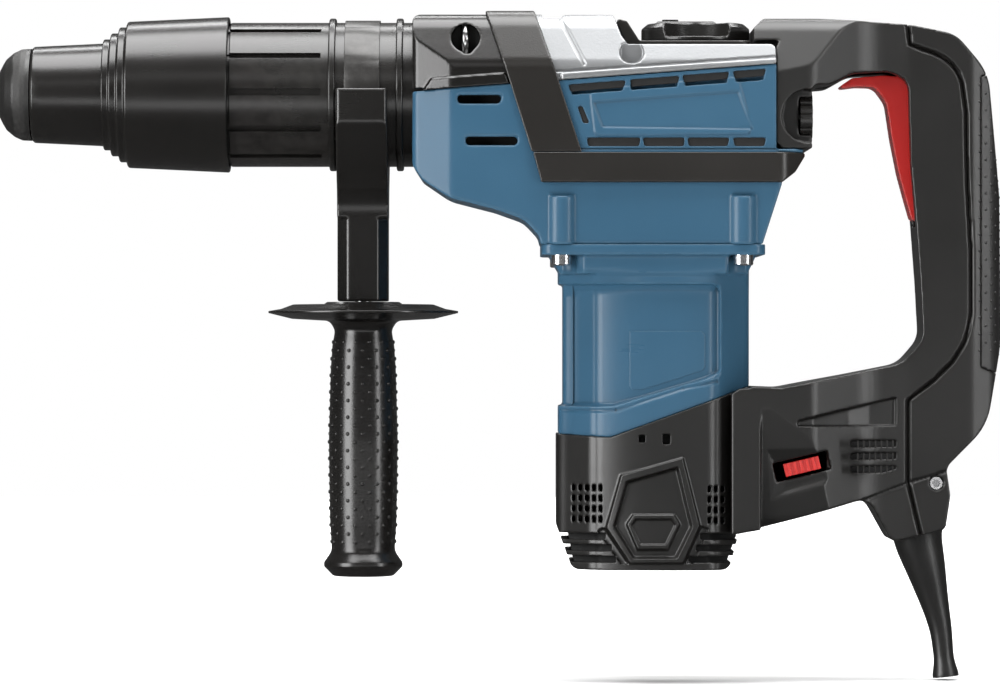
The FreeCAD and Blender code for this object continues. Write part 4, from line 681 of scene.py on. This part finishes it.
def makeHandle(h):
    front = copyOf("handle_front_shell", "rear_handle_front")
    rear = copyOf("handle_rear_shell", "rear_handle_back")
    sink([front, rear], offsetLine(h["seam"], h["seamHalf"]), h["grooveDepth"])
    sink([front, rear], offsetLine(h["glandLine"], h["glandHalf"]), h["grooveDepth"] * 0.8)
    sink([front], h["pocket"], h["pocketDepth"])
    for side in (-1, 1):
        mouth = taperObject(
            h["slideFloor"],
            shrinkLine(h["slideMouth"], -h["slideFlare"]),
            lambda z: side * (flank(z) - h["slideDepth"]),
            lambda z: side * (flank(z) + h["slideFlare"]))
        carve(front, mouth)
        cheek = prismObject([(x, y * side) for x, y in h["cheekPlan"]], "z", -215, -140, "cheek")
        carve(cheek, prismObject(h["cheekSide"], "y", -60, 60), "INTERSECT")
        carve(front, cheek, "UNION")
    x0, x1 = h["ventX"]
    pitch = (x1 - x0) / h["ventCells"]
    slots, ribs = bmesh.new(), bmesh.new()
    for row, (z0, z1) in enumerate(h["ventRows"]):
        # the lowest row runs out along the gland's shoulder
        last = row == len(h["ventRows"]) - 1
        end = x0 + 0.72 * (x1 - x0) if last else x1
        corner = min(z1, z0 + 1.6) if last else z0
        addPrism(slots, [(x0, z0), (end, z0), (x1, corner), (x1, z1), (x0, z1)], "y", -60, 60)
        for k in range(1, h["ventCells"]):
            x = x0 + pitch * k
            for side in (-1, 1):
                near, far = sorted((side * (flank(z0) - h["ventDepth"]), side * (flank(z0) - 0.5)))
                addBox(ribs, x - h["ventRib"] / 2, x + h["ventRib"] / 2, near, far, z0 - 0.3, z1 + 0.3)
    tool = toObject("slots", slots)
    # painted shade: a near-black layer at the floor of every vent
    painted_shade = toObject("handle_vent_painted_shade", bmeshOf(tool))
    carve(painted_shade, handleCore(h["ventDepth"] + 0.6))
    carve(painted_shade, handleCore(h["ventDepth"] - 0.5), "INTERSECT")
    carve(tool, handleCore(h["ventDepth"]))
    carve(front, tool)
    addOn(painted_shade, "handle_front_shell", "paintedShade")
    addOn(toObject("handle_vent_ribs", ribs), "handle_front_shell", "satinPlastic")
    for thing, source in ((front, "handle_front_shell"), (rear, "handle_rear_shell")):
        mould(thing, 0.6, 3)
        fitOut(thing, source)


makeHandle(handle)
print("handle shells ready")


def surfaceTree(thing):
    bm = bmesh.new()
    bm.from_mesh(thing.data)
    tree = BVHTree.FromBMesh(bm)
    bm.free()
    return tree


def addDome(bm, place, out, radius, height, sides=8):
    # a small rounded nub standing on a surface
    up = out.normalized()
    side = up.orthogonal().normalized()
    across = up.cross(side)
    rings = []
    for share, lift in ((1.0, -0.25), (0.86, 0.45), (0.5, 0.86)):
        ring = []
        for k in range(sides):
            a = 2 * math.pi * k / sides
            ring.append(bm.verts.new(place + (side * math.cos(a) + across * math.sin(a)) * radius * share * mm
                                     + up * height * lift * mm))
        rings.append(ring)
    tip = bm.verts.new(place + up * height * mm)
    for lower, upper in zip(rings, rings[1:]):
        for k in range(sides):
            n = (k + 1) % sides
            bm.faces.new((lower[k], lower[n], upper[n], upper[k]))
    for k in range(sides):
        bm.faces.new((rings[-1][k], rings[-1][(k + 1) % sides], tip))
    bm.faces.new(list(reversed(rings[0])))


softGrip = {
    "nubPitch": 4.3, "rowPitch": 4.0, "nubRadius": 0.62, "nubHeight": 0.32,
    "z": (-126, 14),
    "halfWidth": 17.0,
    "startX": 520,                # behind the pad
    "flankColumns": (473.6, 476.6, 479.4, 481.6),
    "flankZ": (-124, 8),
    "flankPitch": 8.0, "flankRadius": 0.8, "flankHeight": 0.4,
}


def makeSoftGrip(g):
    pad = copyOf("soft_grip", "grip_cover")
    mould(pad, 0.6, 2)
    fitOut(pad, "soft_grip")
    tree = surfaceTree(pad)
    nubs = bmesh.new()
    rows = int((g["z"][1] - g["z"][0]) / g["rowPitch"])
    across = int(g["halfWidth"] / g["nubPitch"]) + 1
    for row in range(rows + 1):
        z = g["z"][0] + g["rowPitch"] * row
        for k in range(-across, across + 1):
            y = (k + 0.5 * (row % 2)) * g["nubPitch"]
            if abs(y) > g["halfWidth"]:
                continue
            start = Vector((g["startX"], y * 1.4, z)) * mm
            hit, normal, index, reach = tree.ray_cast(start, Vector((-1, -0.02 * y, 0)).normalized())
            if hit is not None and normal.x > 0.1:
                addDome(nubs, hit, normal, g["nubRadius"], g["nubHeight"])
    shellTree = surfaceTree(bpy.data.objects["rear_handle_back"])
    for side in (-1, 1):
        for column, x in enumerate(g["flankColumns"]):
            for row in range(int((g["flankZ"][1] - g["flankZ"][0]) / g["flankPitch"]) + 1):
                z = g["flankZ"][0] + g["flankPitch"] * row + g["flankPitch"] / 2 * (column % 2)
                start = Vector((x, side * 60, z)) * mm
                found = []
                for surface in (tree, shellTree):
                    hit, normal, index, reach = surface.ray_cast(start, Vector((0, -side, 0)))
                    if hit is not None and abs(normal.y) > 0.25:
                        found.append((reach, hit, normal))
                if found:
                    reach, hit, normal = min(found, key=lambda item: item[0])
                    addDome(nubs, hit, normal, g["flankRadius"], g["flankHeight"])
    dots = toObject("grip_cover_nubs", nubs)
    smoothOver(dots)
    addOn(dots, "soft_grip", "softRubber")


makeSoftGrip(softGrip)

sideGrip = {
    "columns": 28, "pitch": 8.05, "nubRadius": 1.05, "nubHeight": 0.62, "nubSides": 10,
    "z": (-216.5, -118.0),
    "edge": 0.5,
}


def makeSideGrip(g):
    grip = copyOf("side_grip", "auxiliary_grip")
    low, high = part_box("side_grip")
    middle = (low + high) / 2
    weld = grip.modifiers.new("edges", "BEVEL")
    weld.width = g["edge"] * mm
    weld.segments = 2
    weld.limit_method = "ANGLE"
    weld.angle_limit = math.radians(40)
    settle(grip)
    smoothOver(grip)
    fitOut(grip, "side_grip")
    tree = surfaceTree(grip)
    nubs = bmesh.new()
    rows = int((g["z"][1] - g["z"][0]) / g["pitch"])
    for column in range(g["columns"]):
        a = 2 * math.pi * column / g["columns"]
        out = Vector((math.cos(a), math.sin(a), 0))
        for row in range(rows + 1):
            z = g["z"][0] + (row + 0.5 * (column % 2)) * g["pitch"]
            start = Vector((middle.x, middle.y, z * mm)) + out * 0.06
            hit, normal, index, reach = tree.ray_cast(start, -out)
            if hit is not None and hit.z < g["z"][1] * mm:
                addDome(nubs, hit, out, g["nubRadius"], g["nubHeight"], g["nubSides"])
    dots = toObject("auxiliary_grip_nubs", nubs)
    smoothOver(dots)
    addOn(dots, "side_grip", "blackPlastic")


makeSideGrip(sideGrip)
print("grips ready")

# lower end of the motor: louvres, vents and the raised hexagonal frame on both sides
endCap = {
    "louvres": [(-214.4, -211.4), (-219.8, -216.8), (-225.1, -222.1)],
    "leftEnds": [293.0, 296.0, 298.0],
    "rightStarts": [338.0, 336.0, 332.7],
    "frameOuter": [(299.7, -182.8), (330.3, -174.1), (338.6, -207.6), (330.3, -226.0),
                   (304.1, -226.0), (292.4, -208.6)],
    "frameInner": [(303.3, -186.9), (326.9, -180.2), (333.6, -208.1), (326.4, -222.6),
                   (306.4, -222.6), (297.4, -208.1)],
    "frameProud": 1.5,
    "fieldDepth": 1.7,
    "padOuter": [(302.4, -206.8), (305.8, -201.8), (325.9, -201.8), (328.9, -206.8),
                 (323.0, -219.4), (307.8, -219.4)],
    "padInner": [(305.0, -207.4), (307.2, -204.4), (324.4, -204.4), (326.3, -207.4),
                 (321.8, -216.6), (309.2, -216.6)],
    "padProud": 1.3,
    "channelDepth": 2.0,
    "rootDepth": 2.6,             # how deep frame and pad stand in the cap
    "channel": [[(292.4, -208.6), (304.1, -226.0), (300.2, -226.0), (289.0, -210.0)],
                [(338.6, -207.6), (330.3, -226.0), (334.5, -226.0), (342.2, -209.0)]],
    "windows": [(308.7, 311.9, -168.0, -164.2), (320.0, 323.6, -168.6, -163.8)],
}


def makeEndCap(c):
    cap = copyOf("motor_end_cap", "motor_lower_cap")
    low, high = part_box("motor_end_cap")
    half = high.y / mm
    slots = bmesh.new()
    for (z0, z1), left, right in zip(c["louvres"], c["leftEnds"], c["rightStarts"]):
        addBox(slots, 260, left, -60, 60, z0, z1)
        addBox(slots, right, 370, -60, 60, z0, z1)
    carve(cap, toObject("slots", slots))
    ways = bmesh.new()
    for x0, x1, z0, z1 in c["windows"]:
        addBox(ways, x0, x1, -60, 60, z0, z1)
    carve(cap, toObject("windows", ways))
    for side in (-1, 1):
        field = sorted((side * (half - c["fieldDepth"]), side * 60))
        carve(cap, prismObject(c["frameInner"], "y", *field))
        channel = sorted((side * (half - c["channelDepth"]), side * 60))
        for outline in c["channel"]:
            carve(cap, prismObject(outline, "y", *channel))
        ring = taperObject(
            shrinkLine(c["frameOuter"], -0.6), shrinkLine(c["frameOuter"], 1.0),
            lambda z: side * (half - c["rootDepth"]), lambda z: side * (half + c["frameProud"]))
        hole = taperObject(
            shrinkLine(c["frameInner"], 0.9), shrinkLine(c["frameInner"], -1.1),
            lambda z: side * (half - 3), lambda z: side * (half + 2.2))
        carve(ring, hole)
        carve(cap, ring, "UNION")
        padFace = half - c["fieldDepth"] + c["padProud"]
        pad = taperObject(
            shrinkLine(c["padOuter"], -0.5), shrinkLine(c["padOuter"], 0.9),
            lambda z: side * (half - c["rootDepth"]), lambda z: side * padFace)
        dish = sorted((side * (half - c["fieldDepth"] - 0.2), side * 70))
        carve(pad, prismObject(c["padInner"], "y", *dish))
        carve(cap, pad, "UNION")
    mould(cap, 0.5, 1)
    bulge(cap, motorBulge)
    fitOut(cap, "motor_end_cap")


makeEndCap(endCap)

ventPaintedShade = {
    "outer": 4.2, "thick": 1.4,
    "z": (-226.5, -160.5), "x": (270.65, 361.85), "half": 43.0, "corner": 17.0,
    "side": [(278.2, -226.4), (351, -226.4), (356.5, -212), (357.7, -163), (274.8, -163), (274.8, -209)],
}


def octagon(v, d):
    # the cap's plan, moved inwards
    (x0, x1), b, c = v["x"], v["half"], v["corner"]
    x0, x1, b, c = x0 + d, x1 - d, b - d, c - 0.4 * d
    front = [(x0, -b + c), (x0 + c, -b), (x1 - c, -b), (x1, -b + c)]
    return front + [(x, -y) for x, y in reversed(front)]


def makeVentPaintedShade(v):
    # painted shade: a near-black sheet behind the vents and louvres, so they look dark inside
    z0, z1 = v["z"]
    wall = prismObject(octagon(v, v["outer"]), "z", z0, z1, "vent_painted_shade")
    carve(wall, prismObject(octagon(v, v["outer"] + v["thick"]), "z", z0 - 1, z1 + 1))
    carve(wall, prismObject(v["side"], "y", -50, 50), "INTERSECT")
    mould(wall, 1.0, 1)
    bulge(wall, motorBulge)
    addOn(wall, "motor_end_cap", "paintedShade")


makeVentPaintedShade(ventPaintedShade)
print("motor end ready")


# remaining casings: as designed, with moulded edges
def openSlots(thing, outlines, near):
    # through slots in both flanks
    for side in (-1, 1):
        bm = bmesh.new()
        for outline in outlines:
            addPrism(bm, outline, "y", *sorted((side * near, side * 60)))
        carve(thing, toObject("slots", bm))


def vent(x0, x1, low, high, lean=0.0):
    return [(x0, low), (x1, low + lean), (x1 + 0.8, high + lean), (x0 - 0.8, high)]


details = {
    "caseSlots": [vent(222.6, 242.5, -6.0, -1.9), vent(226.5, 250.5, -25.9, -21.8)],
    "topVents": [(276.0, 301.7), (305.3, 327.4), (330.3, 351.1), (354.4, 368.6)],
    "lowVents": [(284.7, 308.8), (311.4, 329.8), (332.7, 351.1), (354.5, 368.6)],
    "slot": [(279.4, -7.3), (281.8, -7.3), (285.2, -15.5), (282.3, -15.5)],
    "badge": [(286.2, -4.9), (356.5, 0.3), (363.8, -18.9), (291.0, -17.9)],
    "motorField": [(255, -92.2), (348.3, -92.2), (348.3, -135.6), (346.4, -137.4), (311.0, -148.6),
                   (298.3, -151.6), (255, -151.6)],
    "motorBelt": [(262, -152.6), (298, -152.4), (330, -142.0), (346.5, -138.6)],
    "rimLine": [(262.0, 8.9), (376.0, 16.4)],
    "blockLine": [(270.5, 37.0), (283.0, 12.5)],
    "teardrop": [(219.2, 25.5), (221.0, 29.0), (224.5, 31.6), (228.2, 31.4), (231.2, 28.8),
                 (232.6, 25.2), (231.0, 21.2), (228.3, 18.0), (225.8, 17.8), (222.0, 20.6)],
    "ventRise": 0.082,            # slope of the upper vents
    "ventCut": 9,                 # how deep the vents go under the panel's face
    "painted_shade_wall": (216, 258, 30.2, 31.2, -29, 1),
    "pinX": 225.8, "pinY": 30.6, "pinRadius": 2.0, "pinZ": (17.0, 32.6),
}


def panelShape(thing, side):
    # vents above and below a raised blank badge
    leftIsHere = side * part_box("side_panel_left")[0].y > 0
    low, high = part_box("side_panel_left" if leftIsHere else "side_panel_right")
    face = max(abs(low.y), abs(high.y)) / mm
    depth = sorted((side * (face - details["ventCut"]), side * 60))
    slots = bmesh.new()
    rise = details["ventRise"]
    for x0, x1 in details["topVents"]:
        z = -0.3 + (x0 - 276.0) * rise
        addPrism(slots, vent(x0, x1, z, z + 3.3, (x1 - x0) * rise), "y", *depth)
    for x0, x1 in details["lowVents"]:
        addPrism(slots, vent(x0, x1, -26.4, -22.3), "y", *depth)
    addPrism(slots, details["slot"], "y", *depth)
    inside = slots.copy()
    carve(thing, toObject("slots", slots))
    # painted shade: a near-black block at the bottom of every vent
    for v in inside.verts:
        reach = abs(v.co.y) / mm
        v.co.y = side * (face - 6 if reach < face - 5 else face - 1.6) * mm
    addOn(toObject(thing.name + "_painted_shade", inside), "side_panel_left", "paintedShade")


def addPaintedShadeWalls(source):
    # painted shade: near-black walls behind the case's slots
    x0, x1, near, far, z0, z1 = details["painted_shade_wall"]
    bm = bmesh.new()
    for side in (-1, 1):
        addBox(bm, x0, x1, *sorted((side * near, side * far)), z0, z1)
    addOn(toObject("case_painted_shade_walls", bm), source, "paintedShade")


def hoodShape(thing):
    # an opening on each side with a bright pin across it and a painted-shade back, a near-black plate behind
    # the opening
    for side in (-1, 1):
        carve(thing, prismObject(details["teardrop"], "y", *sorted((side * 27.5, side * 60))))
    pins, painted_shade_backs = bmesh.new(), bmesh.new()
    x, y, radius = details["pinX"], details["pinY"], details["pinRadius"]
    for side in (-1, 1):
        ring = []
        for k in range(16):
            a = 2 * math.pi * k / 16
            ring.append((x + radius * math.cos(a), side * y + radius * math.sin(a)))
        addPrism(pins, ring, "z", *details["pinZ"])
        addPrism(painted_shade_backs, shrinkLine(details["teardrop"], -1.5), "y", *sorted((side * 27.0, side * 27.9)))
    for bm, name, look in ((pins, "hood_pins", "brightSteel"), (painted_shade_backs, "hood_painted_shade_backs", "paintedShade")):
        made = toObject(name, bm)
        if look == "brightSteel":
            smoothOver(made)
        addOn(made, "front_hood", look)


casings = {
    "front_hood": ("hood_cover", 0.55, 2),
    "gearbox_casting": ("gearbox_cover", 0.5, 2),
    "side_panel_left": ("left_panel", 0.5, 2),
    "side_panel_right": ("right_panel", 0.5, 2),
    "gear_case": ("gearbox_shell", 0.8, 2),
    "saddle_band": ("saddle_strip", 0.6, 2),
    "bumper_belt": ("rubbing_strip", 0.6, 2),
    "motor_housing": ("motor_shell", 0.6, 2),
    "selector_cover": ("selector_tray", 0.6, 2),
    "mode_knob": ("selector_knob", 0.5, 2),
    "handle_cradle": ("clamp_cradle", 0.6, 2),
    "trigger": ("trigger_lever_face", 0.6, 3),
}
for source, (label, cell, rounds) in casings.items():
    made = copyOf(source, label)
    if source == "gear_case":
        openSlots(made, details["caseSlots"], 32)
        addPaintedShadeWalls(source)
    elif source == "front_hood":
        hoodShape(made)
    elif source.startswith("side_panel"):
        panelShape(made, 1 if (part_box(source)[0].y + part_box(source)[1].y) > 0 else -1)
    mould(made, cell, rounds)
    if source == "trigger":
        # room for the trigger inside its shell
        slim = made.modifiers.new("slim", "DISPLACE")
        slim.mid_level = 0
        slim.strength = -0.25 * mm
        settle(made)
    elif source == "motor_housing":
        press(made, details["motorField"], 1.9, 3.0, 30)
        score(made, details["motorBelt"], 1.2, 0.9)
        bulge(made, motorBulge)
    elif source == "gearbox_casting":
        score(made, details["rimLine"], 0.9, 0.8)
        score(made, details["blockLine"], 1.0, 0.9)
    elif source.startswith("side_panel"):
        press(made, details["badge"], -0.9, 1.1)
    fitOut(made, source)
print("casings ready")


def makeSpring():
    # the detent spring, which shortens as the locking sleeve is drawn back; here it gets smooth shading and a
    # mesh of its own
    spring = copyOf("lock_spring", "detent_spring")
    smoothOver(spring)
    fitOut(spring, "lock_spring")
    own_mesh(spring)


makeSpring()

ratingPlate = {
    "outline": [(304.3, -114.6), (339.0, -114.6), (340.6, -116.4), (340.6, -132.0),
                (339.4, -133.6), (311.0, -142.6), (305.8, -142.8), (304.3, -141.0)],
    "lift": 0.35,
    "root": 1.4,
    "probe": (322, 60, -126),     # from here the flank is looked for
}


def makeRatingPlate(r):
    # a blank plate on each side of the motor
    tree = surfaceTree(bpy.data.objects["motor_shell"])
    hit, normal, index, reach = tree.ray_cast(Vector(r["probe"]) * mm, Vector((0, -1, 0)))
    face = hit.y / mm
    both = bmesh.new()
    for side in (-1, 1):
        addPrism(both, r["outline"], "y", *sorted((side * (face - r["root"]), side * (face + r["lift"]))))
    plate = toObject("rating_plates", both)
    mould(plate, 0.3, 1)
    for v in plate.data.vertices:
        side = math.copysign(1, v.co.y)
        start = Vector((v.co.x, side * 0.06, v.co.z))
        hit, normal, index, reach = tree.ray_cast(start, Vector((0, -side, 0)))
        v.co.y += hit.y - side * face * mm
    addOn(plate, "motor_housing", "bluePlastic")


makeRatingPlate(ratingPlate)


def roundEdges(name, width, angle=35):
    # the CAD node stays; only its edges catch the light
    thing = nodes[name]
    weld = thing.modifiers.new("weld", "WELD")
    weld.merge_threshold = 0.00001
    edge = thing.modifiers.new("edges", "BEVEL")
    edge.width = width * mm
    edge.segments = 2
    edge.limit_method = "ANGLE"
    edge.angle_limit = math.radians(angle)
    edge.use_clamp_overlap = False
    edge.harden_normals = True


for name in ("nose_sleeve", "lock_slide", "mode_button", "handle_strap"):
    roundEdges(name, 0.25)
print("nodes dressed")
